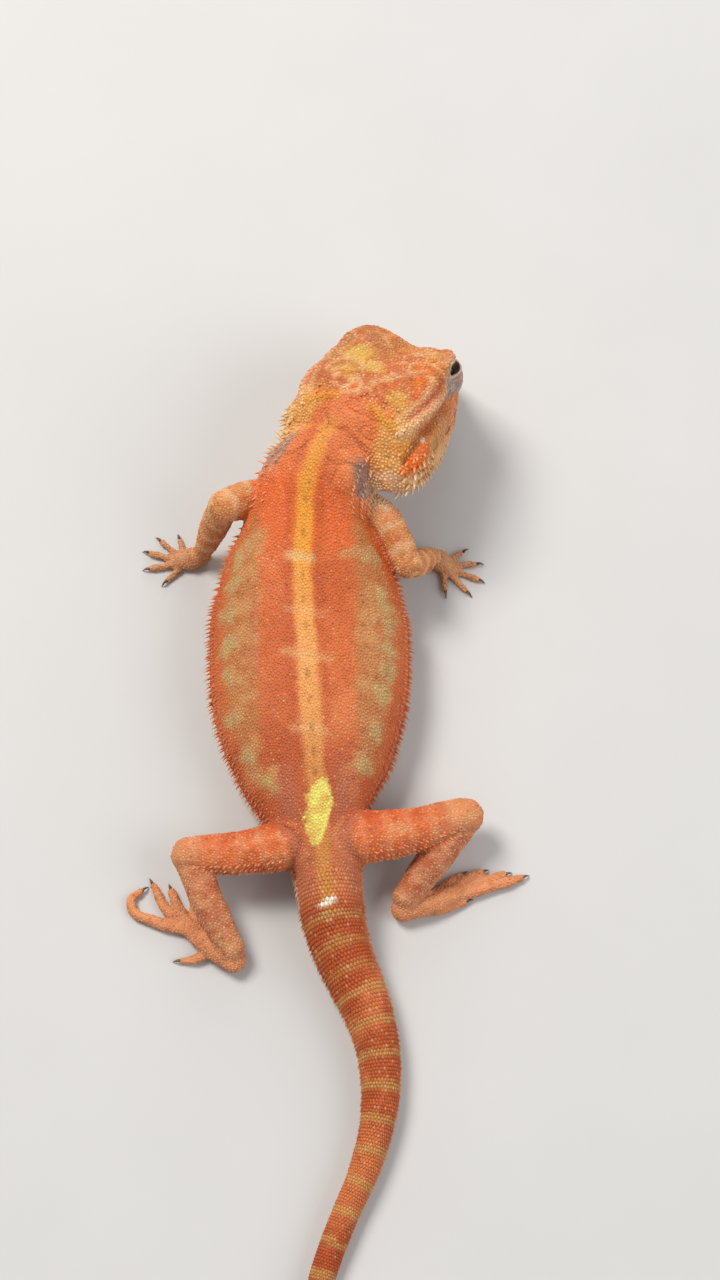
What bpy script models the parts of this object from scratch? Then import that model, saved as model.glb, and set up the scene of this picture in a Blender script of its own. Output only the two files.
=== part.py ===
"""Bearded dragon: a still, life-size model of a young animal that lies on the floor.

The head end is raised and turned to its right, both front legs are propped on flat hands,
the hind legs are folded and the tail lies in a slow bend. Sizes are in millimetres in the
tables below and are turned into metres as each mesh is written. +Y runs from the tail to the
head, +X to the animal's right, +Z up, and the floor is at zero under the belly.
"""

import math
import random

import bmesh
import bpy
import numpy as np
from mathutils import Matrix, Vector
from mathutils.bvhtree import BVHTree

MM = 0.001
GAP = 0.3
SHORTEST_EDGE = 0.01
FLOOR = 0.0
UP = Vector((0.0, 0.0, 1.0))

# Trunk, neck and tail: place of the centre line on the floor, half width, underside and top

NECK_ROWS = [
    (6.8, 22.4, 4.2, 8.6, 15.0),
    (5.2, 20.4, 4.6, 7.6, 15.7),
    (3.3, 18.4, 4.7, 6.4, 15.6),
    (1.6, 16.4, 4.9, 5.2, 15.0),
    (0.5, 14.4, 5.5, 4.0, 14.1),
]
TRUNK_ROWS = [
    (0.0, 12.2, 6.4, 2.8, 13.1),
    (-0.1, 9.6, 7.8, 1.6, 12.2),
    (-0.1, 7.4, 8.7, 0.8, 11.6),
    (0.0, 5.2, 9.4, 0.1, 11.2),
    (0.0, 2.6, 9.9, -0.3, 10.8),
    (0.1, -0.6, 10.0, -0.4, 10.4),
    (0.1, -4.0, 9.8, -0.4, 10.1),
    (0.2, -8.0, 9.2, -0.4, 9.7),
    (0.4, -11.4, 8.2, -0.3, 9.3),
    (0.6, -14.4, 6.8, 0.0, 8.9),
    (0.9, -16.6, 5.5, 0.4, 8.6),
    (1.3, -18.8, 4.5, 0.7, 8.3),
    (1.8, -21.2, 3.7, 0.9, 7.9),
]
TAIL_ROWS = [
    (2.4, -24.0, 3.1, 0.8, 7.2),
    (3.1, -27.2, 2.9, 0.5, 6.4),
    (3.9, -29.8, 2.7, 0.2, 5.8),
    (5.2, -32.4, 2.5, -0.1, 5.2),
    (6.7, -35.6, 2.3, -0.2, 4.6),
    (7.7, -39.8, 2.05, -0.2, 4.0),
    (7.4, -44.6, 1.8, -0.2, 3.4),
    (5.8, -50.2, 1.55, -0.15, 2.9),
    (3.5, -55.6, 1.35, -0.15, 2.5),
    (1.5, -61.2, 1.2, -0.15, 2.2),
    (0.7, -67.2, 1.05, -0.1, 1.95),
    (1.5, -73.2, 0.92, -0.1, 1.7),
    (3.6, -79.0, 0.8, -0.1, 1.5),
    (5.8, -84.2, 0.66, -0.08, 1.25),
    (7.2, -88.8, 0.52, -0.06, 1.0),
    (7.8, -93.0, 0.34, -0.05, 0.65),
]
WIDEST_AT = 0.38
BACK_ROUNDNESS = 2.15
BELLY_ROUNDNESS = 2.7
NECK_END_Y = 12.9
TAIL_ROOT_Y = -21.4
TAIL_CUTS_Y = (-37.0, -53.0, -71.0)

# Head: sections drawn for a head of SECTION_LENGTH, from the back of the skull to the snout.
# Each row has its place, the top, four points down the side as pairs, and the throat.

HEAD_LENGTH = 16.8
SECTION_LENGTH = 15.5
HEAD_PLACE = (5.85, 24.0, 16.0)
HEAD_TURN_RIGHT = 33.0
HEAD_PITCH_DOWN = 28.5
HEAD_ROLL = 13.5
HEAD_ROWS = [
    (-4.2, -2.7, 2.2, -3.4, 3.0, -4.9, 3.1, -6.0, 2.6, -6.8, -7.1),
    (-3.2, -1.4, 3.9, -2.4, 5.2, -4.7, 5.6, -6.3, 5.0, -7.6, -8.2),
    (-1.8, -0.6, 4.8, -1.5, 6.4, -4.3, 7.0, -6.4, 6.5, -8.0, -8.8),
    (0.0, -0.1, 5.1, -0.8, 7.0, -3.9, 7.6, -6.3, 7.2, -8.3, -9.2),
    (2.0, 0.05, 4.9, -0.3, 6.8, -3.5, 7.4, -6.1, 7.1, -8.5, -9.4),
    (4.0, 0.0, 4.7, 0.1, 6.1, -3.1, 6.9, -5.9, 6.7, -8.5, -9.5),
    (5.8, -0.2, 4.6, 0.5, 5.5, -2.8, 6.3, -5.8, 6.1, -8.4, -9.4),
    (7.6, -0.5, 4.4, 0.65, 4.9, -2.6, 5.7, -5.8, 5.4, -8.3, -9.2),
    (9.3, -1.1, 3.7, 0.1, 4.4, -2.8, 5.1, -5.8, 4.6, -8.1, -8.9),
    (11.0, -1.9, 2.7, -1.5, 3.7, -3.5, 4.4, -5.9, 3.8, -7.9, -8.6),
    (13.0, -2.9, 2.0, -2.9, 2.9, -4.4, 3.4, -6.0, 2.7, -7.7, -8.2),
    (14.5, -4.0, 1.4, -4.1, 2.1, -5.0, 2.3, -6.2, 1.7, -7.3, -7.7),
    (15.5, -5.2, 0.7, -5.3, 1.0, -5.8, 1.0, -6.3, 0.7, -6.8, -6.9),
]
EYE_CENTRE = (4.15, 7.3, -2.45)
EYE_RADIUS = 1.7
EYE_LOOKS = (0.92, 0.26, 0.16)
LID_THICK = 0.5
LID_OPENING = (1.35, 0.72)
EAR_CENTRE = (7.35, 0.7, -4.9)
EAR_SIZE = (0.55, 0.75, 1.05)
NOSTRIL_CENTRE = (2.35, 13.2, -3.9)
NOSTRIL_RADIUS = 0.4
MOUTH_LINE = [(2.6, -5.3), (4.5, -5.9), (7.0, -6.1), (9.5, -6.0), (12.0, -6.05), (14.3, -6.25)]
MOUTH_FRONT = (0.0, 15.55, -6.3)
MOUTH_GROOVE = 0.22

# Legs: joints as places with a radius, and toes as places with a radius

LEFT_ARM = [(-2.6, 15.4, 6.2, 2.3), (-6.0, 14.2, 8.6, 2.0), (-8.3, 13.1, 9.7, 1.75)]
LEFT_FOREARM = [(-8.4, 13.2, 9.4, 1.55), (-9.0, 13.8, 5.2, 1.5), (-9.4, 14.7, 1.6, 1.0)]
RIGHT_ARM = [(3.2, 15.0, 6.8, 2.2), (7.2, 12.6, 8.3, 1.8), (9.9, 7.9, 7.3, 1.6)]
RIGHT_FOREARM = [(9.9, 8.0, 7.1, 1.45), (11.5, 8.9, 4.2, 1.4), (12.5, 10.4, 1.6, 0.95)]
LEFT_THIGH = [(0.2, -19.8, 4.8, 2.8), (-5.6, -21.0, 4.7, 2.2), (-11.3, -21.2, 4.2, 1.85)]
LEFT_SHIN = [(-11.2, -21.6, 3.9, 1.75), (-9.8, -26.0, 3.2, 1.65), (-7.5, -30.0, 2.0, 1.3)]
RIGHT_THIGH = [(3.2, -19.8, 4.8, 2.9), (9.6, -18.8, 4.8, 2.4), (15.4, -17.3, 4.2, 1.9)]
RIGHT_SHIN = [(15.1, -17.9, 3.8, 1.75), (12.6, -21.6, 3.1, 1.7), (10.1, -24.9, 2.0, 1.3)]

LEFT_PALM = [(-9.4, 14.8, 1.0, 1.05), (-10.0, 16.2, 0.7, 1.25), (-10.4, 17.3, 0.5, 1.0)]
RIGHT_PALM = [(12.5, 10.5, 1.0, 1.0), (13.3, 11.9, 0.7, 1.25), (13.9, 13.0, 0.5, 1.0)]
LEFT_SOLE = [(-7.2, -30.9, 1.1, 1.25), (-9.4, -29.2, 0.9, 1.2), (-11.4, -27.5, 0.6, 1.1)]
RIGHT_SOLE = [(9.6, -25.9, 1.1, 1.25), (11.8, -25.1, 0.9, 1.3), (14.2, -24.2, 0.6, 1.15)]

HAND_TOE_LENGTHS = (2.3, 3.2, 3.6, 3.4, 2.4)
HAND_TOE_ANGLES = (62.0, 30.0, 4.0, -22.0, -58.0)
HAND_TOE_RADII = (0.46, 0.36)
LEFT_HAND_AIM = -22.0
RIGHT_HAND_AIM = 26.0
FOOT_TOE_RADII = (0.6, 0.4)
LEFT_TOES = [
    [(-10.4, -27.4), (-10.9, -25.9), (-11.0, -24.9)],
    [(-11.2, -27.2), (-12.6, -25.4), (-13.2, -23.9)],
    [(-11.7, -27.4), (-13.8, -25.5), (-15.0, -23.3)],
    [(-11.8, -27.8), (-14.6, -26.6), (-16.7, -25.5), (-17.2, -23.9)],
    [(-9.4, -29.8), (-10.8, -30.6), (-12.0, -30.7)],
]
RIGHT_TOES = [
    [(13.0, -23.7), (14.2, -22.3), (14.9, -21.4)],
    [(13.9, -23.6), (16.0, -22.0), (17.4, -21.4)],
    [(14.3, -24.0), (17.2, -22.7), (19.6, -22.0)],
    [(14.4, -24.4), (17.6, -23.8), (20.2, -23.4), (21.6, -23.0)],
    [(12.2, -25.9), (14.2, -26.3), (15.8, -26.0)],
]
CLAW_LENGTH = 1.0
CLAW_RADIUS = 0.27

# Spines: length, radius at the root, and how far the root is sunk

SPINE_SINK = 0.45
SPINE_SIDES = 4
SPINE_LEAN = 0.9
FLANK_PITCH = 0.98
NECK_SPINE_ROWS = [(0.09, 0.75), (0.035, 0.95), (-0.03, 1.15), (-0.09, 0.9)]
SEED = 7

COLOURS = {
    "flesh": ((0.66, 0.17, 0.06, 1.0), 0.62),
    "limb": ((0.70, 0.30, 0.13, 1.0), 0.62),
    "eye": ((0.03, 0.02, 0.015, 1.0), 0.12),
}


def remove_everything():
    """Clears the scene's objects."""
    for obj in list(bpy.data.objects):
        bpy.data.objects.remove(obj, do_unlink=True)


def smooth_lookup(keys, rows, key):
    """Reads rows of values at a key, on a smooth curve through them."""
    keys = np.asarray(keys, float)
    rows = np.asarray(rows, float)
    slopes = np.gradient(rows, keys, axis=0)
    key = min(max(key, keys[0]), keys[-1])
    low = min(int(np.searchsorted(keys, key, side="right")) - 1, len(keys) - 2)
    span = keys[low + 1] - keys[low]
    t = (key - keys[low]) / span
    start = (1.0 + 2.0 * t) * (1.0 - t) ** 2 * rows[low] + t * t * (3.0 - 2.0 * t) * rows[low + 1]
    bend = t * (1.0 - t) ** 2 * slopes[low] - t * t * (1.0 - t) * slopes[low + 1]
    return start + span * bend


class Body:
    """Neck, trunk and tail as one smooth surface along the centre line."""

    def __init__(self):
        self.rows = np.array(NECK_ROWS + TRUNK_ROWS + TAIL_ROWS, float)
        steps = np.linalg.norm(np.diff(self.rows[:, :2], axis=0), axis=1)
        self.keys = np.concatenate([[0.0], np.cumsum(steps)])

    def along(self, y):
        """Distance from the neck's front end to the place where the centre line has this y."""
        return float(np.interp(-y, -self.rows[:, 1], self.keys))

    def point(self, at, turn, swell=0.0):
        """A surface point; turn 0 is the right flank, a quarter the back, a half the left."""
        x, y, half, low, high = smooth_lookup(self.keys, self.rows, at)
        ahead = smooth_lookup(self.keys, self.rows, at + 0.2)
        behind = smooth_lookup(self.keys, self.rows, at - 0.2)
        forward = Vector((behind[0] - ahead[0], behind[1] - ahead[1], 0.0)).normalized()
        right = forward.cross(UP)
        middle = low + WIDEST_AT * (high - low)
        angle = 2.0 * math.pi * turn
        across, upward = math.cos(angle), math.sin(angle)
        power = 2.0 / (BACK_ROUNDNESS if upward > 0.0 else BELLY_ROUNDNESS)
        side = math.copysign(abs(across) ** power, across) * (half + swell)
        rise = abs(upward) ** power
        if upward > 0.0:
            height = middle + rise * (high + swell - middle)
        else:
            height = middle - rise * (middle - low + swell)
        return Vector((x, y, height)) + right * side


class Limb:
    """A round limb through joints that have a radius, with rounded ends."""

    def __init__(self, joints):
        self.rows = np.array(joints, float)
        steps = np.linalg.norm(np.diff(self.rows[:, :3], axis=0), axis=1)
        self.keys = np.concatenate([[0.0], np.cumsum(steps)])
        self.length = float(self.keys[-1])

    def stations(self, count, swell=0.0):
        """Places along the limb, with three more that round off each end."""
        first = self.rows[0, 3] + swell
        last = self.rows[-1, 3] + swell
        inner = list(np.linspace(0.0, self.length, count))
        front = [-first * part for part in (0.93, 0.6)]
        back = [self.length + last * part for part in (0.6, 0.93)]
        return front + inner + back

    def point(self, at, turn, swell=0.0):
        """A surface point at a distance from the first joint."""
        row = smooth_lookup(self.keys, self.rows, at)
        ahead = smooth_lookup(self.keys, self.rows, min(at + 0.15, self.length))
        behind = smooth_lookup(self.keys, self.rows, max(at - 0.15, 0.0))
        if at <= 0.0:
            ahead = smooth_lookup(self.keys, self.rows, 0.3)
            behind = smooth_lookup(self.keys, self.rows, 0.0)
        if at >= self.length:
            ahead = smooth_lookup(self.keys, self.rows, self.length)
            behind = smooth_lookup(self.keys, self.rows, self.length - 0.3)
        forward = Vector(ahead[:3] - behind[:3]).normalized()
        radius = row[3] + swell
        beyond = max(-at, at - self.length, 0.0)
        centre = Vector(row[:3]) + forward * (beyond if at > 0.0 else -beyond)
        radius *= math.sqrt(max(1.0 - (beyond / radius) ** 2, 0.02))
        side = forward.cross(UP if abs(forward.z) < 0.9 else Vector((0.0, 1.0, 0.0))).normalized()
        over = side.cross(forward)
        angle = 2.0 * math.pi * turn
        return centre + side * (radius * math.cos(angle)) + over * (radius * math.sin(angle))


class Head:
    """The head in its own frame: right, forward and up from the back of the skull."""

    def __init__(self):
        self.scale = HEAD_LENGTH / SECTION_LENGTH
        self.keys = [row[0] for row in HEAD_ROWS]
        self.rows = [row[1:] for row in HEAD_ROWS]

    def outline(self, at):
        """The ten points of a section, from the top down the right side and up the left."""
        top, *sides, throat = smooth_lookup(self.keys, self.rows, at)
        right = [(sides[i], sides[i + 1]) for i in range(0, 8, 2)]
        left = [(-x, z) for x, z in reversed(right)]
        return [(0.0, top)] + right + [(0.0, throat)] + left

    def flat(self, at, turn):
        """A point of the section on a smooth closed curve through its ten points."""
        points = self.outline(at)
        place = (turn % 1.0) * 10.0
        i = int(place) % 10
        t = place - int(place)
        a, b, c, d = (np.array(points[(i + k) % 10]) for k in (-1, 0, 1, 2))
        square = 2 * a - 5 * b + 4 * c - d
        cube = 3 * b - a - 3 * c + d
        return 0.5 * (2 * b + (c - a) * t + square * t * t + cube * t ** 3)

    def point(self, at, turn, swell=0.0):
        """A surface point in the head's frame; turn 0 is the crown and a half the throat."""
        here = self.flat(at, turn)
        after = self.flat(at, turn + 0.01)
        before = self.flat(at, turn - 0.01)
        normal = np.array([-(after[1] - before[1]), after[0] - before[0]])
        normal = normal / max(float(np.linalg.norm(normal)), 1e-6)
        x, z = here * self.scale + normal * swell
        return Vector((x, at * self.scale, z))


def surface_normal(surface, at, turn):
    """Outward direction of a surface at a point, and its direction towards the rear end."""
    along = surface.point(at + 0.1, turn) - surface.point(at - 0.1, turn)
    around = surface.point(at, turn + 0.006) - surface.point(at, turn - 0.006)
    normal = along.cross(around).normalized()
    centre = sum((surface.point(at, k / 8.0) for k in range(8)), Vector()) / 8.0
    if normal.dot(surface.point(at, turn) - centre) < 0.0:
        normal.negate()
    return normal, along.normalized()


def write_object(name, mesh_data, place=None):
    """Makes an object from a bmesh in millimetres, at a place given as a matrix in millimetres."""
    place = place or Matrix.Identity(4)
    mesh_data.normal_update()
    bmesh.ops.recalc_face_normals(mesh_data, faces=mesh_data.faces)
    bmesh.ops.triangulate(mesh_data, faces=mesh_data.faces)
    mesh_data.transform(Matrix.Scale(MM, 4))
    mesh = bpy.data.meshes.new(name)
    mesh_data.to_mesh(mesh)
    mesh_data.free()
    obj = bpy.data.objects.new(name, mesh)
    bpy.context.scene.collection.objects.link(obj)
    obj.matrix_world = Matrix.Translation(place.translation * MM) @ place.to_3x3().to_4x4()
    return obj


def from_rings(rings, clamp=False):
    """A closed mesh through rings of points, with a flat face over each end."""
    mesh_data = bmesh.new()
    made = []
    for ring in rings:
        points = [Vector((p.x, p.y, max(p.z, FLOOR))) if clamp else p for p in ring]
        made.append([mesh_data.verts.new(p) for p in points])
    count = len(rings[0])
    for one, two in zip(made, made[1:]):
        for k in range(count):
            mesh_data.faces.new((one[k], one[(k + 1) % count], two[(k + 1) % count], two[k]))
    mesh_data.faces.new(made[0])
    mesh_data.faces.new(list(reversed(made[-1])))
    return mesh_data


def loft(name, surface, stations, sides, swell=0.0, clamp=False, place=None):
    """A closed object over a surface's stations."""
    rings = [[surface.point(at, k / sides, swell) for k in range(sides)] for at in stations]
    return write_object(name, from_rings(rings, clamp), place)


def ball(name, centre, radii, place=None, turned=None):
    """A closed ellipsoid, turned by a rotation of its own."""
    mesh_data = bmesh.new()
    bmesh.ops.create_uvsphere(mesh_data, u_segments=14, v_segments=9, radius=1.0)
    shape = Matrix.Diagonal(Vector((*radii, 1.0)))
    turned = turned.to_matrix().to_4x4() if turned else Matrix.Identity(4)
    mesh_data.transform(Matrix.Translation(Vector(centre)) @ turned @ shape)
    return write_object(name, mesh_data, place)


def spine(root, outward, length, radius, sink=SPINE_SINK, droop=None):
    """A closed tapered spine with its root sunk in, in millimetres."""
    droop = droop or Vector((0.0, 0.0, 0.0))
    side = outward.orthogonal().normalized()
    over = outward.cross(side).normalized()
    levels = [(-sink, radius), (0.5 * length, 0.62 * radius)]
    mesh_data = bmesh.new()
    rings = []
    for distance, size in levels:
        bend = droop * (max(distance, 0.0) / length) ** 2
        centre = root + outward * distance + bend
        turns = [2.0 * math.pi * k / SPINE_SIDES for k in range(SPINE_SIDES)]
        ring = [centre + side * (size * math.cos(a)) + over * (size * math.sin(a)) for a in turns]
        rings.append([mesh_data.verts.new(p) for p in ring])
    tip = mesh_data.verts.new(root + outward * length + droop)
    for k in range(SPINE_SIDES):
        after = (k + 1) % SPINE_SIDES
        mesh_data.faces.new((rings[0][k], rings[0][after], rings[1][after], rings[1][k]))
        mesh_data.faces.new((rings[1][k], rings[1][after], tip))
    mesh_data.faces.new(rings[0])
    return mesh_data


def apply_boolean(obj, operation, other=None, pool=None):
    """Applies one Boolean with another object or with a collection of them."""
    modifier = obj.modifiers.new("combine", "BOOLEAN")
    modifier.operation = operation
    modifier.solver = "MANIFOLD"
    if pool:
        modifier.operand_type = "COLLECTION"
        modifier.collection = pool
    else:
        modifier.object = other
    bpy.context.view_layer.update()
    mesh = bpy.data.meshes.new_from_object(obj.evaluated_get(bpy.context.evaluated_depsgraph_get()))
    obj.modifiers.clear()
    obj.data = mesh


def fuse(obj, others):
    """Joins a collection of closed meshes to an object, which are then removed."""
    pool = bpy.data.collections.new("pool")
    bpy.context.scene.collection.children.link(pool)
    for other in others:
        pool.objects.link(other)
    apply_boolean(obj, "UNION", pool=pool)
    for other in others:
        bpy.data.objects.remove(other, do_unlink=True)
    bpy.data.collections.remove(pool)


def cut(obj, tools):
    """Cuts closed tools out of an object one after another and removes them."""
    for tool in tools:
        apply_boolean(obj, "DIFFERENCE", other=tool)
        bpy.data.objects.remove(tool, do_unlink=True)


def keep_largest(obj):
    """Keeps only the largest closed surface of an object."""
    mesh_data = bmesh.new()
    mesh_data.from_mesh(obj.data)
    waiting = set(mesh_data.faces)
    groups = []
    while waiting:
        stack = [waiting.pop()]
        group = list(stack)
        while stack:
            face = stack.pop()
            for edge in face.edges:
                for other in edge.link_faces:
                    if other in waiting:
                        waiting.remove(other)
                        group.append(other)
                        stack.append(other)
        groups.append(group)
    groups.sort(key=lambda group: sum(face.calc_area() for face in group))
    for group in groups[:-1]:
        bmesh.ops.delete(mesh_data, geom=group, context="FACES")
    loose = [vert for vert in mesh_data.verts if not vert.link_faces]
    bmesh.ops.delete(mesh_data, geom=loose, context="VERTS")
    bmesh.ops.recalc_face_normals(mesh_data, faces=mesh_data.faces)
    mesh_data.to_mesh(obj.data)
    mesh_data.free()


def merge_slivers(obj):
    """Merges the shortest edges that Booleans leave, unless that would open the surface."""
    mesh_data = bmesh.new()
    mesh_data.from_mesh(obj.data)
    bmesh.ops.remove_doubles(mesh_data, verts=mesh_data.verts, dist=SHORTEST_EDGE * MM)
    bmesh.ops.dissolve_degenerate(mesh_data, edges=mesh_data.edges, dist=0.5 * SHORTEST_EDGE * MM)
    bmesh.ops.triangulate(mesh_data, faces=mesh_data.faces)
    if all(edge.is_manifold for edge in mesh_data.edges):
        mesh_data.to_mesh(obj.data)
    mesh_data.free()


def give_material(obj, kind):
    """Gives an object a material of its own in one of the model's colours."""
    colour, roughness = COLOURS[kind]
    material = bpy.data.materials.new(obj.name)
    material.use_nodes = True
    shader = material.node_tree.nodes["Principled BSDF"]
    shader.inputs["Base Color"].default_value = colour
    shader.inputs["Roughness"].default_value = roughness
    shader.inputs["Metallic"].default_value = 0.0
    obj.data.materials.clear()
    obj.data.materials.append(material)


def world_tree(obj):
    """A search tree over an object's surface in world coordinates, in millimetres."""
    mesh_data = bmesh.new()
    mesh_data.from_mesh(obj.data)
    mesh_data.transform(obj.matrix_world)
    mesh_data.transform(Matrix.Scale(1.0 / MM, 4))
    tree = BVHTree.FromBMesh(mesh_data)
    mesh_data.free()
    return tree


def is_clear(point, trees, margin):
    """Whether a world point lies outside the given surfaces by a margin, in millimetres."""
    for tree in trees:
        found, normal, _, distance = tree.find_nearest(point)
        if distance < margin or (point - found).dot(normal) < 0.0:
            return False
    return True


def head_matrix():
    """The head's place: turned to the right, nose down and rolled."""
    turn = Matrix.Rotation(math.radians(-HEAD_TURN_RIGHT), 4, "Z")
    pitch = Matrix.Rotation(math.radians(-HEAD_PITCH_DOWN), 4, "X")
    roll = Matrix.Rotation(math.radians(-HEAD_ROLL), 4, "Y")
    return Matrix.Translation(Vector(HEAD_PLACE)) @ turn @ pitch @ roll


def mirrored(point, side):
    """A head point on the right for side 1 and on the left for side -1."""
    return Vector((point[0] * side, point[1], point[2]))


def groove_tool(head):
    """A thin tube along the mouth line, from one corner round the snout to the other."""
    right = []
    for at, height in MOUTH_LINE:
        turns = [0.2 + 0.25 * k / 40.0 for k in range(41)]
        turn = min(turns, key=lambda one: abs(head.flat(at, one)[1] - height))
        right.append(head.point(at, turn))
    front = Vector(MOUTH_FRONT) * head.scale
    path = right + [front] + [mirrored(p, -1) for p in reversed(right)]
    joints = [(*p, MOUTH_GROOVE) for p in path]
    tube = Limb(joints)
    rings = [[tube.point(at, k / 5.0) for k in range(5)] for at in np.linspace(0.0, tube.length, 26)]
    return write_object("groove", from_rings(rings), head_matrix())


def eye_frame(side):
    """Where an eye sits in the head and how it is turned to look outward."""
    scale = HEAD_LENGTH / SECTION_LENGTH
    centre = mirrored(EYE_CENTRE, side) * scale
    turned = mirrored(EYE_LOOKS, side).to_track_quat("X", "Z")
    return centre, turned, scale


def make_head(head):
    """Head with lids, eye sockets, ear cups, nostrils and the mouth line, and its two eyes."""
    place = head_matrix()
    stations = list(np.linspace(HEAD_ROWS[0][0], 14.2, 24)) + [14.8, 15.2, 15.5]
    obj = loft("head", head, stations, 36, place=place)
    lids, tools, eyes = [], [groove_tool(head)], []
    for side, name in ((-1, "left"), (1, "right")):
        centre, turned, scale = eye_frame(side)
        radius = EYE_RADIUS * scale
        lids.append(ball("lid", centre, [radius + GAP + LID_THICK] * 3, place))
        tools.append(ball("socket", centre, [radius + GAP] * 3, place))
        looks = mirrored(EYE_LOOKS, side).normalized()
        opening = centre + looks * (radius + 0.6)
        reach = (1.2, LID_OPENING[0] * scale, LID_OPENING[1] * scale)
        tools.append(ball("opening", opening, reach, place, turned))
        ear = mirrored(EAR_CENTRE, side) * scale
        tools.append(ball("ear", ear, [size * scale for size in EAR_SIZE], place))
        nostril = mirrored(NOSTRIL_CENTRE, side) * scale
        tools.append(ball("nostril", nostril, [NOSTRIL_RADIUS] * 3, place))
        eyes.append(ball("eye_" + name, centre, [radius] * 3, place))
    fuse(obj, lids)
    cut(obj, tools)
    keep_largest(obj)
    return obj, eyes


def make_trunk_parts(body):
    """Neck, torso and the four lengths of the tail, cut square across with a thin gap."""
    cuts = [0.0, body.along(NECK_END_Y), body.along(TAIL_ROOT_Y)]
    cuts += [body.along(y) for y in TAIL_CUTS_Y] + [float(body.keys[-1])]
    names = ["neck", "torso", "tail_1", "tail_2", "tail_3", "tail_4"]
    counts = [(8, 30), (25, 34), (11, 26), (10, 20), (10, 16), (12, 12)]
    made = {}
    for name, start, end, (count, sides) in zip(names, cuts, cuts[1:], counts):
        first = start + (GAP / 2.0 if start > 0.0 else 0.0)
        last = end - (GAP / 2.0 if end < cuts[-1] else 0.0)
        made[name] = loft(name, body, np.linspace(first, last, count), sides, clamp=True)
    return made


def swollen_body(body):
    """A copy of neck, trunk and tail that is larger by the gap, as a cutting tool."""
    stations = np.linspace(0.0, float(body.keys[-1]), 60)
    return loft("tool", body, stations, 34, swell=GAP)


def swollen_head(head):
    """A copy of the head that is larger by the gap, as a cutting tool."""
    stations = [HEAD_ROWS[0][0] - 0.3] + list(np.linspace(HEAD_ROWS[0][0] + 0.5, 15.5, 24))
    return loft("tool", head, stations, 36, swell=GAP, place=head_matrix())


def swollen_limb(joints, sides=14):
    """A copy of a limb that is larger by the gap, as a cutting tool."""
    limb = Limb(joints)
    return loft("tool", limb, limb.stations(7, GAP), sides, swell=GAP)


def claw(tip, direction):
    """A small curved claw from the end of a toe down to the floor."""
    lift = Vector((0.0, 0.0, 0.12))
    outward = (direction + lift).normalized()
    droop = Vector((0.0, 0.0, 0.06 - tip.z - outward.z * CLAW_LENGTH))
    return spine(tip, outward, CLAW_LENGTH, CLAW_RADIUS, sink=0.35, droop=droop)


def toe_pieces(places, radii):
    """One toe and its claw, from floor places and its radius at root and tip."""
    first, last = radii
    count = len(places)
    sizes = [first + (last - first) * k / (count - 1) for k in range(count)]
    toe = Limb([(x, y, size - 0.06, size) for (x, y), size in zip(places, sizes)])
    pieces = [loft("toe", toe, toe.stations(5)[1:], 7, clamp=True)]
    direction = Vector((places[-1][0] - places[-2][0], places[-1][1] - places[-2][1], 0.0)).normalized()
    tip = Vector((places[-1][0], places[-1][1], last)) + direction * (0.6 * last)
    pieces.append(write_object("claw", claw(tip, direction)))
    return pieces


def hand_toes(palm, aim):
    """Places of a hand's five toes, fanned from the end of the palm."""
    x, y = palm[-1][:2]
    side = 1.0 if aim < 0.0 else -1.0
    toes = []
    for angle, length in zip(HAND_TOE_ANGLES, HAND_TOE_LENGTHS):
        heading = math.radians(aim + side * angle)
        step = Vector((math.sin(heading), math.cos(heading)))
        back = Vector((math.sin(math.radians(aim)), math.cos(math.radians(aim)))) * 0.5
        start = Vector((x, y)) + step * 0.2 - back
        toes.append([tuple(start + step * (length * part)) for part in (0.0, 0.5, 1.0)])
    return toes


def make_foot(name, sole, toes, radii, tools):
    """A hand or foot: its flat sole with five toes and claws fused to it."""
    limb = Limb(sole)
    obj = loft(name, limb, limb.stations(5), 12, clamp=True)
    pieces = []
    for places in toes:
        pieces += toe_pieces(places, radii)
    fuse(obj, pieces)
    cut(obj, tools)
    keep_largest(obj)
    return obj


def make_limb(name, joints, tools):
    """One length of a leg, cut back where it meets what it grows from."""
    limb = Limb(joints)
    obj = loft(name, limb, limb.stations(8), 16, clamp=True)
    cut(obj, tools)
    keep_largest(obj)
    return obj


def make_legs(body):
    """All four legs, each in three lengths."""
    chains = [
        ("left", LEFT_ARM, LEFT_FOREARM, LEFT_PALM, hand_toes(LEFT_PALM, LEFT_HAND_AIM), True),
        ("right", RIGHT_ARM, RIGHT_FOREARM, RIGHT_PALM, hand_toes(RIGHT_PALM, RIGHT_HAND_AIM), True),
        ("left", LEFT_THIGH, LEFT_SHIN, LEFT_SOLE, LEFT_TOES, False),
        ("right", RIGHT_THIGH, RIGHT_SHIN, RIGHT_SOLE, RIGHT_TOES, False),
    ]
    made = {}
    for side, upper, lower, sole, toes, is_front in chains:
        names = ("upper_arm_", "forearm_", "hand_") if is_front else ("thigh_", "shin_", "foot_")
        radii = HAND_TOE_RADII if is_front else FOOT_TOE_RADII
        first, second, third = (part + side for part in names)
        made[first] = make_limb(first, upper, [swollen_body(body)])
        made[second] = make_limb(second, lower, [swollen_body(body), swollen_limb(upper)])
        tools = [swollen_body(body), swollen_limb(upper), swollen_limb(lower)]
        made[third] = make_foot(third, sole, toes, radii, tools)
    return made


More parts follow.
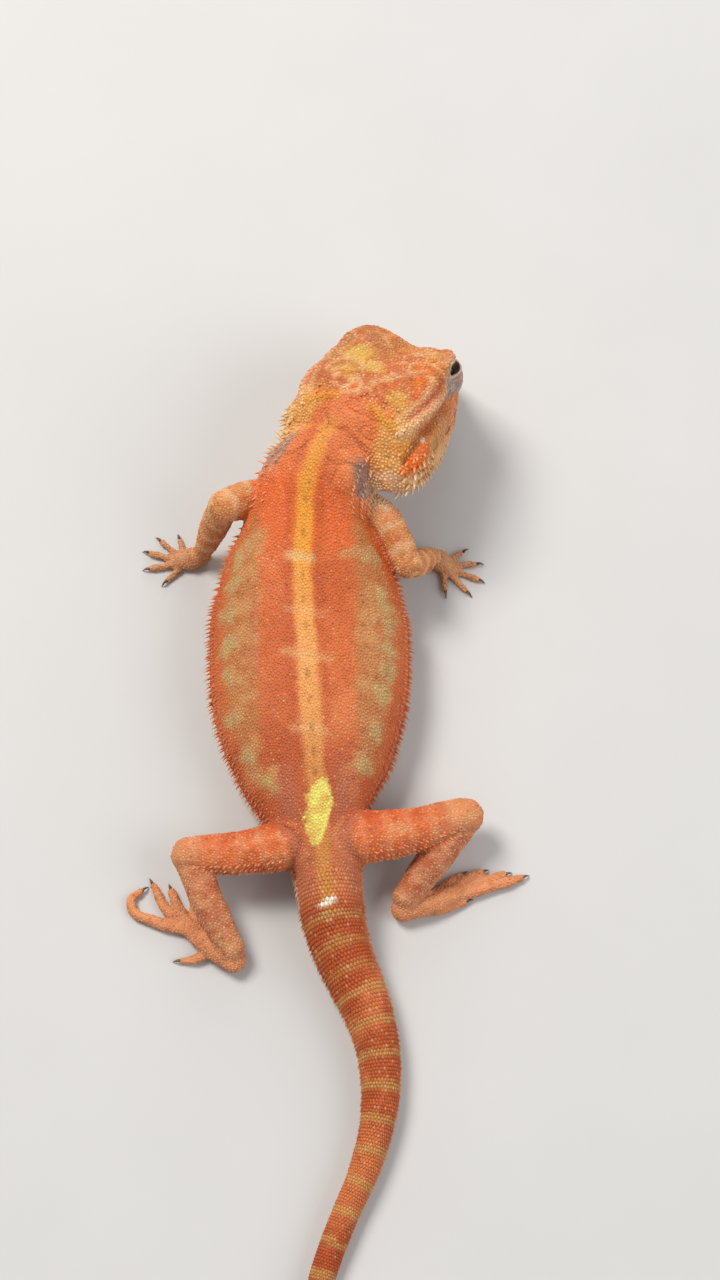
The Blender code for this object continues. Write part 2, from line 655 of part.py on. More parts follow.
def flank_spines(body, rng):
    """Two rows of spines along each flank, from behind the arm to the hip."""
    found = []
    start, end = body.along(10.5), body.along(-18.5)
    count = int((end - start) / FLANK_PITCH)
    for row, (lift, length) in enumerate(((0.018, 1.15), (-0.03, 0.95))):
        for k in range(count):
            at = start + (end - start) * (k + 0.5 * row + 0.3) / count + rng.uniform(-0.1, 0.1)
            grow = math.sin(math.pi * min(max((k + 1.5) / (count + 2.0), 0.0), 1.0)) ** 0.4
            for flank in (0.0, 0.5):
                turn = flank + lift if flank == 0.0 else flank - lift
                found.append((at, turn, length * grow * rng.uniform(0.88, 1.1), 0.27, 0.55))
    return found


def tail_spines(body, rng):
    """Side spines of the tail's root and a few along its top edges."""
    found = []
    start, end = body.along(-22.2), body.along(-35.0)
    count = 13
    for k in range(count):
        at = start + (end - start) * (k + 0.5) / count
        for flank, way in ((0.0, 1.0), (0.5, -1.0)):
            found.append((at + rng.uniform(-0.1, 0.1), flank + way * 0.01, 0.75 - 0.02 * k, 0.26, 0.9))
            found.append((at + 0.4, flank + way * 0.075, 0.55 - 0.015 * k, 0.25, 1.1))
    return found


def neck_spines(body, rng):
    """Rows along both sides of the neck and the spiny fold in front of each shoulder."""
    found = []
    for flank, way in ((0.0, 1.0), (0.5, -1.0)):
        for lift, length in NECK_SPINE_ROWS:
            for k in range(6):
                at = body.along(17.8 - 0.85 * k) + rng.uniform(-0.12, 0.12)
                turn = flank + way * lift + rng.uniform(-0.006, 0.006)
                found.append((at, turn, length * rng.uniform(0.85, 1.1), 0.28, 0.7))
    return found


def head_spines(rng):
    """Spines of the head's rear corners, the nape, the cheeks and the beard."""
    found = []
    for way in (1.0, -1.0):
        for k in range(7):
            found.append((1.4 - 0.62 * k, way * (0.125 + 0.006 * k), 0.8 + 0.09 * k, 0.29, -0.9))
            found.append((1.1 - 0.62 * k, way * (0.175 + 0.004 * k), 0.85 + 0.1 * k, 0.3, -0.9))
        for k in range(6):
            found.append((0.2 - 0.6 * k, way * 0.235, 1.0 + 0.08 * k, 0.3, -0.8))
            found.append((0.0 - 0.6 * k, way * 0.285, 1.15 + 0.08 * k, 0.31, -0.8))
            found.append((0.6 - 0.6 * k, way * 0.335, 1.15 + 0.08 * k, 0.31, -0.9))
        for k in range(7):
            found.append((5.6 - 1.1 * k, way * 0.385, 0.7 + 0.07 * k, 0.28, -1.3))
            found.append((5.0 - 1.1 * k, way * 0.44, 0.65 + 0.05 * k, 0.27, -1.4))
        for k in range(3):
            found.append((-0.9 - 0.25 * k, way * (0.025 + 0.033 * k), 0.7, 0.27, -1.2))
    return [(at + rng.uniform(-0.08, 0.08), turn + rng.uniform(-0.004, 0.004), length, radius, lean)
            for at, turn, length, radius, lean in found]


def grow_spines(obj, surface, wanted, neighbours):
    """Fuses spines to an object, leaving out any that would come near a neighbour."""
    trees = [world_tree(other) for other in neighbours]
    place = obj.matrix_world.copy()
    place.translation = place.translation / MM
    pieces = []
    for at, turn, length, radius, lean in wanted:
        root = surface.point(at, turn)
        normal, along = surface_normal(surface, at, turn)
        outward = (normal + along * lean * SPINE_LEAN).normalized()
        samples = [place @ (root + outward * length * part) for part in (0.0, 0.35, 0.7, 1.0)]
        margins = (radius + GAP, 0.8 * radius + GAP, 0.4 * radius + GAP, GAP)
        if min(point.z for point in samples) < 0.3:
            continue
        if not all(is_clear(point, trees, margin + 0.03) for point, margin in zip(samples, margins)):
            continue
        pieces.append(write_object("spine", spine(root, outward, length, radius), place))
    fuse(obj, pieces)
    keep_largest(obj)


def main():
    """Builds every node of the model."""
    remove_everything()
    rng = random.Random(SEED)
    body, head = Body(), Head()
    trunk = make_trunk_parts(body)
    head_node, eyes = make_head(head)
    cut(trunk["neck"], [swollen_head(head)])
    keep_largest(trunk["neck"])
    legs = make_legs(body)
    near_head = [trunk["neck"], trunk["torso"], legs["upper_arm_left"], legs["upper_arm_right"]]
    grow_spines(head_node, head, head_spines(rng), near_head)
    arm_names = ["upper_arm_left", "upper_arm_right", "forearm_left", "forearm_right", "hand_left"]
    arms = [legs[name] for name in arm_names]
    grow_spines(trunk["neck"], body, neck_spines(body, rng), [head_node, trunk["torso"]] + arms)
    thighs = [legs[name] for name in ("thigh_left", "thigh_right", "shin_right", "shin_left")]
    near_torso = [trunk["neck"], trunk["tail_1"]] + arms + thighs
    grow_spines(trunk["torso"], body, flank_spines(body, rng), near_torso)
    feet = [legs[name] for name in ("foot_left", "foot_right")]
    near_tail = [trunk["torso"], trunk["tail_2"]] + thighs + feet
    grow_spines(trunk["tail_1"], body, tail_spines(body, rng), near_tail)
    for obj in [head_node] + list(trunk.values()):
        merge_slivers(obj)
        give_material(obj, "flesh")
    for obj in legs.values():
        merge_slivers(obj)
        give_material(obj, "limb")
    for eye in eyes:
        give_material(eye, "eye")


main()
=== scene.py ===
import math

import bpy
import numpy as np
from mathutils import Matrix, Vector
from mathutils.bvhtree import BVHTree
from mathutils.kdtree import KDTree


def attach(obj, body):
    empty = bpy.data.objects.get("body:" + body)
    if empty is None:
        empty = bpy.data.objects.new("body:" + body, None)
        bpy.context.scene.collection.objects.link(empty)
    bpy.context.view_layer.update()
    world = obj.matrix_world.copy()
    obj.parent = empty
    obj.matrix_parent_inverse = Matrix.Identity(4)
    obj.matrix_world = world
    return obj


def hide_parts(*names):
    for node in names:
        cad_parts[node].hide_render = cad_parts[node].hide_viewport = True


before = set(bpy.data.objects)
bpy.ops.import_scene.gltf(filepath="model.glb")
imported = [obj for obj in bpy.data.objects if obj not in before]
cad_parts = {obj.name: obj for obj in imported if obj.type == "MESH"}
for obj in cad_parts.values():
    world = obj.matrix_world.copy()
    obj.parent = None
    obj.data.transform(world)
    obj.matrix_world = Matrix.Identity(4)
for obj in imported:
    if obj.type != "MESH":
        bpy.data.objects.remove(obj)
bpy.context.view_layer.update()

# All tables and functions work in millimetres; MM turns them into metres as a mesh is written.

MM = 0.001
LOOSE = 1.0
VOXEL = 0.17
CANDIDATES = 560000
SKIN_TRIANGLES = 185000
PIECE_TRIANGLES = 190000
BATCH = 20000
COAT = 0.12
GAP = 0.3
RNG = np.random.default_rng(11)

# Trunk, neck and tail: place of the centre line on the floor, half width, underside and top

BODY_ROWS = [
    (6.8, 22.4, 4.2, 8.8, 15.4),
    (5.2, 20.4, 4.6, 7.7, 16.0),
    (3.3, 18.4, 5.0, 6.4, 15.8),
    (1.6, 16.4, 5.6, 5.2, 15.1),
    (0.5, 14.4, 6.0, 4.0, 14.1),
    (0.0, 12.2, 6.4, 2.8, 13.1),
    (-0.1, 9.6, 7.8, 1.6, 12.2),
    (-0.1, 7.4, 8.7, 0.8, 11.6),
    (0.0, 5.2, 9.4, 0.1, 11.2),
    (0.0, 2.6, 9.9, -0.3, 10.8),
    (0.1, -0.6, 10.0, -0.4, 10.4),
    (0.1, -4.0, 9.8, -0.4, 10.1),
    (0.2, -8.0, 9.2, -0.4, 9.7),
    (0.4, -11.4, 8.2, -0.3, 9.3),
    (0.6, -14.4, 6.8, 0.0, 8.9),
    (0.9, -16.6, 5.5, 0.4, 8.6),
    (1.3, -18.8, 4.5, 0.7, 8.3),
    (1.8, -21.2, 3.7, 0.9, 7.9),
    (2.15, -24.0, 3.2, 0.8, 7.3),
    (2.6, -27.2, 3.1, 0.5, 6.6),
    (3.3, -29.8, 2.95, 0.2, 6.0),
    (4.4, -32.4, 2.75, -0.1, 5.4),
    (5.8, -35.6, 2.45, -0.2, 4.7),
    (7.0, -39.8, 2.1, -0.2, 4.0),
    (7.1, -44.6, 1.85, -0.2, 3.4),
    (5.8, -50.2, 1.55, -0.15, 2.9),
    (3.5, -55.6, 1.35, -0.15, 2.5),
    (1.5, -61.2, 1.2, -0.15, 2.2),
    (0.7, -67.2, 1.05, -0.1, 1.95),
    (1.5, -73.2, 0.92, -0.1, 1.7),
    (3.6, -79.0, 0.8, -0.1, 1.5),
    (5.8, -84.2, 0.66, -0.08, 1.25),
    (7.2, -88.8, 0.52, -0.06, 1.0),
    (7.8, -93.0, 0.34, -0.05, 0.65),
]
WIDEST_AT = 0.38
BACK_ROUNDNESS = 2.15
BELLY_ROUNDNESS = 2.7

# Head: sections from the back of the skull to the snout, in a frame of its own

HEAD_LENGTH = 16.8
SECTION_LENGTH = 15.5
HEAD_SCALE = HEAD_LENGTH / SECTION_LENGTH
HEAD_PLACE = (5.85, 23.8, 16.55)
HEAD_TURN_RIGHT = 33.0
HEAD_PITCH_DOWN = 28.5
HEAD_ROLL = 13.5
HEAD_ROWS = [
    (-4.3, -2.8, 2.3, -3.5, 3.9, -5.0, 4.7, -6.7, 4.5, -8.2, -8.6),
    (-3.2, -1.5, 3.9, -2.4, 5.7, -4.6, 6.4, -6.6, 5.9, -8.6, -9.3),
    (-1.8, -0.6, 4.8, -1.5, 6.6, -4.2, 7.15, -6.4, 6.4, -8.6, -9.6),
    (0.0, -0.1, 5.1, -0.8, 6.9, -3.9, 7.15, -6.1, 6.4, -8.6, -9.7),
    (2.0, 0.05, 4.9, -0.3, 6.7, -3.5, 6.95, -6.0, 6.3, -8.6, -9.7),
    (4.0, 0.0, 4.8, 0.0, 6.1, -3.1, 6.6, -5.8, 6.0, -8.5, -9.6),
    (5.8, -0.2, 5.0, 0.25, 5.5, -2.8, 6.1, -5.7, 5.6, -8.4, -9.5),
    (7.6, -0.5, 4.9, 0.2, 4.9, -2.7, 5.6, -5.7, 5.2, -8.3, -9.4),
    (9.3, -1.15, 4.15, -0.3, 4.4, -2.9, 5.0, -5.8, 4.5, -8.2, -9.2),
    (11.0, -2.6, 3.0, -2.2, 3.8, -4.1, 4.3, -6.3, 3.8, -8.2, -9.1),
    (13.0, -4.6, 2.1, -4.6, 3.0, -5.7, 3.4, -7.1, 2.8, -8.4, -9.0),
    (14.5, -6.0, 1.5, -6.0, 2.2, -6.8, 2.4, -7.6, 1.8, -8.5, -8.9),
    (15.4, -7.1, 0.8, -7.1, 1.1, -7.4, 1.1, -7.9, 0.8, -8.3, -8.4),
]
EYE_CENTRE = (3.95, 7.35, -2.4)
EYE_RADIUS = 1.5
EYE_LOOKS = (0.68, 0.02, 0.73)
LID_THICK = 0.5
LID_OPENING = (1.1, 0.48)
LID_FRONT = 0.6
LID_DEPTH = 1.3
EAR_CENTRE = (7.15, 0.7, -4.8)
EAR_SIZE = (0.55, 0.75, 1.05)
NOSTRIL_CENTRE = (2.6, 13.0, -5.2)
NOSTRIL_RADIUS = 0.4
MOUTH_LINE = [(2.6, -5.3), (4.5, -5.9), (7.0, -6.15), (9.5, -6.2), (12.0, -6.9), (14.3, -7.6)]
MOUTH_FRONT = (0.0, 15.45, -7.8)
MOUTH_GROOVE = 0.16

# Legs: joints as places with a radius, and toes as places on the floor

LEGS = {
    "upper_arm_left": [(-2.6, 15.4, 6.2, 2.3), (-6.0, 14.2, 8.6, 2.0), (-8.3, 13.1, 9.7, 1.75)],
    "forearm_left": [(-8.4, 13.2, 9.4, 1.55), (-9.7, 12.5, 5.2, 1.5), (-10.9, 11.4, 1.6, 1.0)],
    "upper_arm_right": [(3.2, 15.0, 6.8, 2.2), (7.2, 12.6, 8.3, 1.8), (9.9, 7.9, 7.3, 1.6)],
    "forearm_right": [(9.9, 8.0, 7.1, 1.45), (11.4, 9.3, 4.2, 1.4), (12.4, 11.1, 1.6, 0.95)],
    "thigh_left": [(0.2, -19.8, 4.8, 2.8), (-5.6, -21.0, 4.7, 2.2), (-11.3, -21.2, 4.2, 1.85)],
    "shin_left": [(-11.1, -21.6, 3.9, 1.75), (-9.4, -25.8, 3.2, 1.7), (-7.1, -29.8, 2.0, 1.35)],
    "thigh_right": [(3.2, -19.8, 4.8, 2.9), (9.6, -19.0, 4.8, 2.3), (15.4, -17.3, 4.2, 1.9)],
    "shin_right": [(15.0, -17.9, 3.8, 1.75), (12.3, -21.5, 3.1, 1.75), (9.7, -24.7, 2.0, 1.4)],
}
SOLES = {
    "hand_left": [(-11.0, 11.3, 1.0, 1.05), (-12.1, 11.1, 0.7, 1.25), (-13.2, 10.9, 0.5, 1.0)],
    "hand_right": [(12.4, 11.3, 1.1, 1.0), (13.2, 10.9, 0.8, 1.3), (14.1, 10.2, 0.5, 1.0)],
    "foot_left": [(-6.9, -30.8, 1.1, 1.25), (-9.4, -29.2, 0.9, 1.2), (-11.4, -27.5, 0.6, 1.1)],
    "foot_right": [(9.4, -25.8, 1.1, 1.3), (11.8, -25.1, 0.9, 1.3), (14.2, -24.2, 0.6, 1.15)],
}
HAND_TOE_LENGTHS = (2.3, 3.2, 3.6, 3.4, 2.4)
HAND_TOE_ANGLES = (62.0, 30.0, 4.0, -22.0, -58.0)
HAND_TOE_RADII = (0.46, 0.36)
LEFT_HAND_AIM = -78.0
RIGHT_HAND_AIM = 116.0
FOOT_TOE_RADII = (0.6, 0.4)
FOOT_TOES = {
    "foot_left": [
        [(-10.4, -27.4), (-10.9, -25.9), (-11.0, -24.9)],
        [(-11.2, -27.2), (-12.6, -25.4), (-13.2, -23.9)],
        [(-11.7, -27.4), (-13.8, -25.5), (-15.0, -23.3)],
        [(-11.8, -27.8), (-14.7, -26.9), (-16.9, -25.8), (-17.1, -24.5), (-16.3, -23.9)],
        [(-9.4, -29.8), (-10.8, -30.6), (-12.0, -30.7)],
    ],
    "foot_right": [
        [(13.2, -23.7), (14.3, -22.8), (15.0, -22.3)],
        [(13.9, -23.7), (15.6, -22.6), (17.0, -22.0)],
        [(14.3, -24.1), (17.0, -22.9), (19.2, -22.2)],
        [(14.4, -24.5), (17.4, -23.6), (19.7, -22.9), (20.9, -22.5)],
        [(12.4, -25.8), (14.0, -25.4), (15.4, -24.9)],
    ],
}
CLAW_LENGTH = 0.8
CLAW_RADIUS = 0.17
CLAW_TIP_RADIUS = 0.012
CLAW_ARCH = 0.16
CLAW_TIP_HEIGHT = 0.06
LEG_FRONT = (0.0, 0.9, 0.44)
FLESH_NODES = ["head", "neck", "torso", "tail_1", "tail_2", "tail_3", "tail_4", *LEGS, *SOLES]


# Smooth surfaces

def curve(keys, rows, at):
    """Rows of values at several keys, on a smooth curve through the given rows."""
    keys = np.asarray(keys, float)
    rows = np.asarray(rows, float)
    slopes = np.gradient(rows, keys, axis=0)
    at = np.clip(np.asarray(at, float), keys[0], keys[-1])
    low = np.clip(np.searchsorted(keys, at, side="right") - 1, 0, len(keys) - 2)
    span = (keys[low + 1] - keys[low])[:, None]
    t = (at - keys[low])[:, None] / span
    line = (1 + 2 * t) * (1 - t) ** 2 * rows[low] + t * t * (3 - 2 * t) * rows[low + 1]
    bend = t * (1 - t) ** 2 * slopes[low] - t * t * (1 - t) * slopes[low + 1]
    return line + span * bend


def unit(vectors):
    """Vectors at length one."""
    return vectors / np.maximum(np.linalg.norm(vectors, axis=-1, keepdims=True), 1e-9)


def ease(low, high, value):
    """A smooth step from 0 at low to 1 at high."""
    t = np.clip((value - low) / (high - low), 0.0, 1.0)
    return t * t * (3.0 - 2.0 * t)


class Body:
    """Neck, trunk and tail as one surface along the centre line."""

    def __init__(self):
        self.rows = np.array(BODY_ROWS, float)
        steps = np.linalg.norm(np.diff(self.rows[:, :2], axis=0), axis=1)
        self.keys = np.concatenate([[0.0], np.cumsum(steps)])
        self.length = float(self.keys[-1])

    def along(self, y):
        """Distance from the neck's front end to where the centre line has this y."""
        return np.interp(-np.asarray(y, float), -self.rows[:, 1], self.keys)

    def frames(self, at):
        """Centre line values with the forward and right directions."""
        values = curve(self.keys, self.rows, at)
        step = curve(self.keys, self.rows, at - 0.2)[:, :2] - curve(self.keys, self.rows, at + 0.2)[:, :2]
        forward = unit(np.column_stack([step, np.zeros(len(step))]))
        right = np.column_stack([forward[:, 1], -forward[:, 0], np.zeros(len(step))])
        return values, forward, right

    def points(self, at, turn, swell=0.0):
        """Surface points; turn 0 is the right flank, a quarter the back, a half the left."""
        at, turn = np.broadcast_arrays(np.asarray(at, float), np.asarray(turn, float))
        values, _, right = self.frames(at)
        x, y, half, low, high = values.T
        middle = low + WIDEST_AT * (high - low)
        across, upward = np.cos(2 * np.pi * turn), np.sin(2 * np.pi * turn)
        power = 2.0 / np.where(upward > 0, BACK_ROUNDNESS, BELLY_ROUNDNESS)
        side = np.sign(across) * np.abs(across) ** power * (half + swell)
        over, under = high + swell - middle, middle - low + swell
        height = middle + np.abs(upward) ** power * np.where(upward > 0, over, -under)
        return np.column_stack([x, y, height]) + right * side[:, None]

    def locate(self, points):
        """Distance along the centre line, offset to the right, turn, and distance off the surface."""
        at = np.linspace(0.0, self.length, 900)
        values, _, right = self.frames(at)
        line = values[None, :, :2].astype(np.float32)
        nearest = np.empty(len(points), int)
        for start in range(0, len(points), BATCH):
            part = points[start:start + BATCH, None, :2].astype(np.float32)
            nearest[start:start + BATCH] = ((part - line) ** 2).sum(2).argmin(1)
        half, low, high = values[nearest, 2:].T
        offset = ((points[:, :2] - values[nearest, :2]) * right[nearest, :2]).sum(1)
        middle = low + WIDEST_AT * (high - low)
        rise = points[:, 2] - middle
        reach = np.where(rise > 0, high - middle, middle - low)
        u, v = offset / half, rise / reach
        power = np.where(rise > 0, BACK_ROUNDNESS, BELLY_ROUNDNESS)
        ratio = (np.abs(u) ** power + np.abs(v) ** power) ** (1.0 / power)
        return at[nearest], offset, np.arctan2(v, u) / (2 * np.pi), (ratio - 1.0) * np.minimum(half, reach)


class Limb:
    """A round limb through joints that have a radius, with rounded ends."""

    def __init__(self, joints):
        self.rows = np.array(joints, float)
        steps = np.linalg.norm(np.diff(self.rows[:, :3], axis=0), axis=1)
        self.keys = np.concatenate([[0.0], np.cumsum(steps)])
        self.length = float(self.keys[-1])

    def frames(self, at):
        """Centre, radius and the three directions at places along the limb."""
        inside = np.clip(at, 0.0, self.length)
        values = curve(self.keys, self.rows, inside)
        ahead = curve(self.keys, self.rows, np.clip(inside + 0.15, 0.3, self.length))
        behind = curve(self.keys, self.rows, np.clip(inside - 0.15, 0.0, self.length - 0.3))
        forward = unit(ahead[:, :3] - behind[:, :3])
        steep = np.abs(forward[:, 2:]) >= 0.9
        side = unit(np.cross(forward, np.where(steep, (0.0, 1.0, 0.0), (0.0, 0.0, 1.0))))
        return values[:, :3], values[:, 3], forward, side, np.cross(side, forward)

    def points(self, at, turn, swell=0.0):
        """Surface points at distances from the first joint."""
        at, turn = np.broadcast_arrays(np.asarray(at, float), np.asarray(turn, float))
        centre, radius, forward, side, over = self.frames(at)
        beyond = np.maximum(np.maximum(-at, at - self.length), 0.0)
        centre = centre + forward * (beyond * np.sign(at))[:, None]
        radius = radius + swell
        radius = radius * np.sqrt(np.maximum(1.0 - (beyond / radius) ** 2, 0.0004))
        angle = 2 * np.pi * turn
        return centre + side * (radius * np.cos(angle))[:, None] + over * (radius * np.sin(angle))[:, None]

    def stations(self, step):
        """Places along the limb a step apart, closer together over the rounded ends."""
        inner = np.linspace(0.0, self.length, max(int(self.length / step), 3))
        ends = np.array([0.3, 0.55, 0.75, 0.9, 0.98, 0.9999])
        return np.concatenate([-ends[::-1] * self.rows[0, 3], inner, self.length + ends * self.rows[-1, 3]])

    def locate(self, points):
        """Place along the limb, distance off its surface, place round it and how far that faces forward."""
        low = self.rows[:, :3].min(0) - self.rows[:, 3].max() - 1.5
        high = self.rows[:, :3].max(0) + self.rows[:, 3].max() + 1.5
        near = np.flatnonzero(((points > low) & (points < high)).all(1))
        along, off = np.zeros(len(points)), np.full(len(points), 9.0)
        turn, front = np.zeros(len(points)), np.zeros(len(points))
        if len(near) == 0:
            return along, off, turn, front
        at = np.linspace(0.0, self.length, 50)
        centre, radius, _, side, over = self.frames(at)
        apart = np.linalg.norm(points[near, None, :] - centre[None], axis=2)
        best = (apart - radius[None]).argmin(1)
        along[near] = at[best]
        off[near] = apart[np.arange(len(near)), best] - radius[best]
        arm = points[near] - centre[best]
        turn[near] = np.arctan2((arm * over[best]).sum(1), (arm * side[best]).sum(1)) / (2 * np.pi)
        front[near] = unit(arm) @ LEG_FRONT
        return along, off, turn, front


class Head:
    """The head in its own frame: right, forward and up from the back of the skull."""

    def __init__(self):
        self.keys = np.array([row[0] for row in HEAD_ROWS], float)
        self.rows = np.array([row[1:] for row in HEAD_ROWS], float)
        turn = Matrix.Rotation(math.radians(-HEAD_TURN_RIGHT), 3, "Z")
        pitch = Matrix.Rotation(math.radians(-HEAD_PITCH_DOWN), 3, "X")
        roll = Matrix.Rotation(math.radians(-HEAD_ROLL), 3, "Y")
        self.turned = np.array(turn @ pitch @ roll)
        self.place = np.array(HEAD_PLACE)

    def to_world(self, points):
        """World places of points in the head's frame."""
        return np.asarray(points, float) @ self.turned.T + self.place

    def to_head(self, points):
        """Places in the head's frame of world points."""
        return (np.asarray(points, float) - self.place) @ self.turned

    def outlines(self, at):
        """The ten points of each section, from the top down the right side and up the left."""
        values = curve(self.keys, self.rows, at)
        top, throat = values[:, 0], values[:, 9]
        right = values[:, 1:9].reshape(-1, 4, 2)
        left = right[:, ::-1] * (-1.0, 1.0)
        crown = np.column_stack([0 * top, top])[:, None]
        chin = np.column_stack([0 * throat, throat])[:, None]
        return np.concatenate([crown, right, chin, left], axis=1)

    def flat(self, at, turn):
        """Points of the sections on smooth closed curves through their ten points."""
        outlines = self.outlines(at)
        place = (turn % 1.0) * 10.0
        i = np.minimum(place.astype(int), 9)
        t = (place - i)[:, None]
        n = np.arange(len(i))
        a, b, c, d = (outlines[n, (i + k) % 10] for k in (-1, 0, 1, 2))
        value = 2 * b + (c - a) * t + (2 * a - 5 * b + 4 * c - d) * t * t
        return 0.5 * (value + (3 * b - a - 3 * c + d) * t ** 3)

    def own_points(self, at, turn, swell=0.0):
        """Surface points in the head's frame; turn 0 is the crown and a half the throat."""
        at, turn = np.broadcast_arrays(np.asarray(at, float), np.asarray(turn, float))
        flat = self.flat(at, turn)
        step = self.flat(at, turn + 0.01) - self.flat(at, turn - 0.01)
        normal = unit(np.column_stack([-step[:, 1], step[:, 0]]))
        flat = flat * HEAD_SCALE + normal * swell
        return np.column_stack([flat[:, 0], at * HEAD_SCALE, flat[:, 1]])

    def points(self, at, turn, swell=0.0):
        """Surface points in the world."""
        return self.to_world(self.own_points(at, turn, swell))


BODY = Body()
HEAD = Head()


def hand_toes(name, aim):
    """Places of a hand's five toes, fanned from the end of the palm."""
    end = np.array(SOLES[name][-1][:2])
    back = np.array([math.sin(math.radians(aim)), math.cos(math.radians(aim))]) * 0.5
    side = 1.0 if aim < 0.0 else -1.0
    toes = []
    for angle, length in zip(HAND_TOE_ANGLES, HAND_TOE_LENGTHS):
        heading = math.radians(aim + side * angle)
        step = np.array([math.sin(heading), math.cos(heading)])
        start = end + step * 0.2 - back
        toes.append([tuple(start + step * length * part) for part in (0.0, 0.5, 1.0)])
    return toes


TOES = {
    "hand_left": (hand_toes("hand_left", LEFT_HAND_AIM), HAND_TOE_RADII),
    "hand_right": (hand_toes("hand_right", RIGHT_HAND_AIM), HAND_TOE_RADII),
    "foot_left": (FOOT_TOES["foot_left"], FOOT_TOE_RADII),
    "foot_right": (FOOT_TOES["foot_right"], FOOT_TOE_RADII),
}


def toe_limb(places, radii):
    """A toe that lies on the floor."""
    sizes = np.linspace(radii[0], radii[1], len(places))
    return Limb([(x, y, size - 0.06, size) for (x, y), size in zip(places, sizes)])


LEG_LIMBS = {name: Limb(joints) for name, joints in LEGS.items()}
SOLE_LIMBS = {name: Limb(joints) for name, joints in SOLES.items()}
TOE_LIMBS = {name: [toe_limb(places, radii) for places in toes] for name, (toes, radii) in TOES.items()}


# Camera and lamps

CAMERA_TARGET = (5.2, 1.0, 4.0)
CAMERA_ELEVATION = 70.0
CAMERA_DISTANCE = 230.0
PIXELS_PER_MM = 10.0
PHOTO_HEIGHT = 1280.0
SENSOR = 36.0
LAMPS = (
    ("key", (-0.25, 0.22, 0.50), 0.22, 3.3, (1.0, 0.965, 0.92)),
    ("fill", (0.45, -0.15, 0.35), 0.45, 1.8, (0.95, 0.97, 1.0)),
    ("rim", (0.05, 0.55, 0.22), 0.3, 0.95, (1.0, 0.98, 0.95)),
)
WORLD_LIGHT = 0.34


# Meshes

def linked(name, data):
    """A new object in the scene."""
    obj = bpy.data.objects.new(name, data)
    bpy.context.scene.collection.objects.link(obj)
    return obj


def new_piece(name, points, faces, smooth=True):
    """A mesh object from points in millimetres and faces that share one corner count."""
    mesh = bpy.data.meshes.new(name)
    faces = np.asarray(faces, np.int32)
    count, corners = faces.shape
    mesh.vertices.add(len(points))
    mesh.vertices.foreach_set("co", (np.asarray(points, np.float32) * MM).ravel())
    mesh.loops.add(count * corners)
    mesh.loops.foreach_set("vertex_index", faces.ravel())
    mesh.polygons.add(count)
    mesh.polygons.foreach_set("loop_start", np.arange(0, count * corners, corners, dtype=np.int32))
    mesh.polygons.foreach_set("use_smooth", np.full(count, smooth))
    mesh.update(calc_edges=True)
    return linked(name, mesh)


def grid_faces(rings, sides):
    """Triangles of a closed tube of rings, with a fan over each end."""
    i, k = np.meshgrid(np.arange(rings - 1), np.arange(sides), indexing="ij")
    a = (i * sides + k).ravel()
    b = (i * sides + (k + 1) % sides).ravel()
    quads = np.concatenate([np.column_stack([a, b, b + sides]), np.column_stack([a, b + sides, a + sides])])
    fan = np.arange(1, sides - 1)
    first = np.column_stack([0 * fan, fan + 1, fan])
    last = (rings - 1) * sides + np.column_stack([0 * fan, fan, fan + 1])
    return np.concatenate([quads, first, last])


def tube(surface, stations, sides, swell):
    """Points and faces of a surface over its stations."""
    at, turn = np.meshgrid(stations, np.arange(sides) / sides, indexing="ij")
    return surface.points(at.ravel(), turn.ravel(), swell), grid_faces(len(stations), sides)


def ball_angles(sides, rings, least):
    """The angle from the pole and the angle round it for each point of a ball, ring by ring."""
    lat = np.linspace(least, np.pi - least, rings)
    lat, lon = np.meshgrid(lat, 2 * np.pi * np.arange(sides) / sides, indexing="ij")
    return lat.ravel(), lon.ravel()


def ellipsoid(centre, radii, turned=None, sides=32, rings=17):
    """Points and faces of an ellipsoid."""
    lat, lon = ball_angles(sides, rings, 0.02)
    ball = np.column_stack([np.sin(lat) * np.cos(lon), np.sin(lat) * np.sin(lon), np.cos(lat)])
    points = ball * np.asarray(radii, float)
    if turned is not None:
        points = points @ turned.T
    return points + np.asarray(centre, float), grid_faces(rings, sides)


def merged(parts):
    """One set of points and faces from several."""
    points, faces, start = [], [], 0
    for one_points, one_faces in parts:
        points.append(one_points)
        faces.append(one_faces + start)
        start += len(one_points)
    return np.concatenate(points), np.concatenate(faces)


def outward(points, faces):
    """Faces turned so that the closed shape's volume is positive."""
    a, b, c = (points[faces[:, k]] for k in range(3))
    volume = (a * np.cross(b, c)).sum()
    return faces if volume > 0 else faces[:, ::-1]


def side_point(point, side):
    """A head point on the right for side 1 and on the left for side -1, at the head's size."""
    return np.array([point[0] * side, point[1], point[2]]) * HEAD_SCALE


def eye_axes(side):
    """Directions of an eye in the world: outward, along the slit and up."""
    look = unit(np.array([EYE_LOOKS[0] * side, EYE_LOOKS[1], EYE_LOOKS[2]]))
    slit = unit(np.cross((0.0, 0.0, 1.0), look))
    up = np.cross(look, slit)
    return HEAD.turned @ np.column_stack([look, slit, up])


def mouth_path():
    """Points along the mouth line in the head's frame, from the right corner to the left."""
    right = []
    turns = np.linspace(0.2, 0.45, 200)
    for at in np.linspace(MOUTH_LINE[0][0], MOUTH_LINE[-1][0], 14):
        height = curve([row[0] for row in MOUTH_LINE], [[row[1]] for row in MOUTH_LINE], [at])[0, 0]
        flat = HEAD.flat(np.full(200, at), turns)
        turn = turns[np.abs(flat[:, 1] - height).argmin()]
        right.append(HEAD.own_points([at], [turn])[0])
    front = np.array(MOUTH_FRONT) * HEAD_SCALE
    left = [p * (-1.0, 1.0, 1.0) for p in reversed(right)]
    return np.array(right + [front] + left)


# Skin

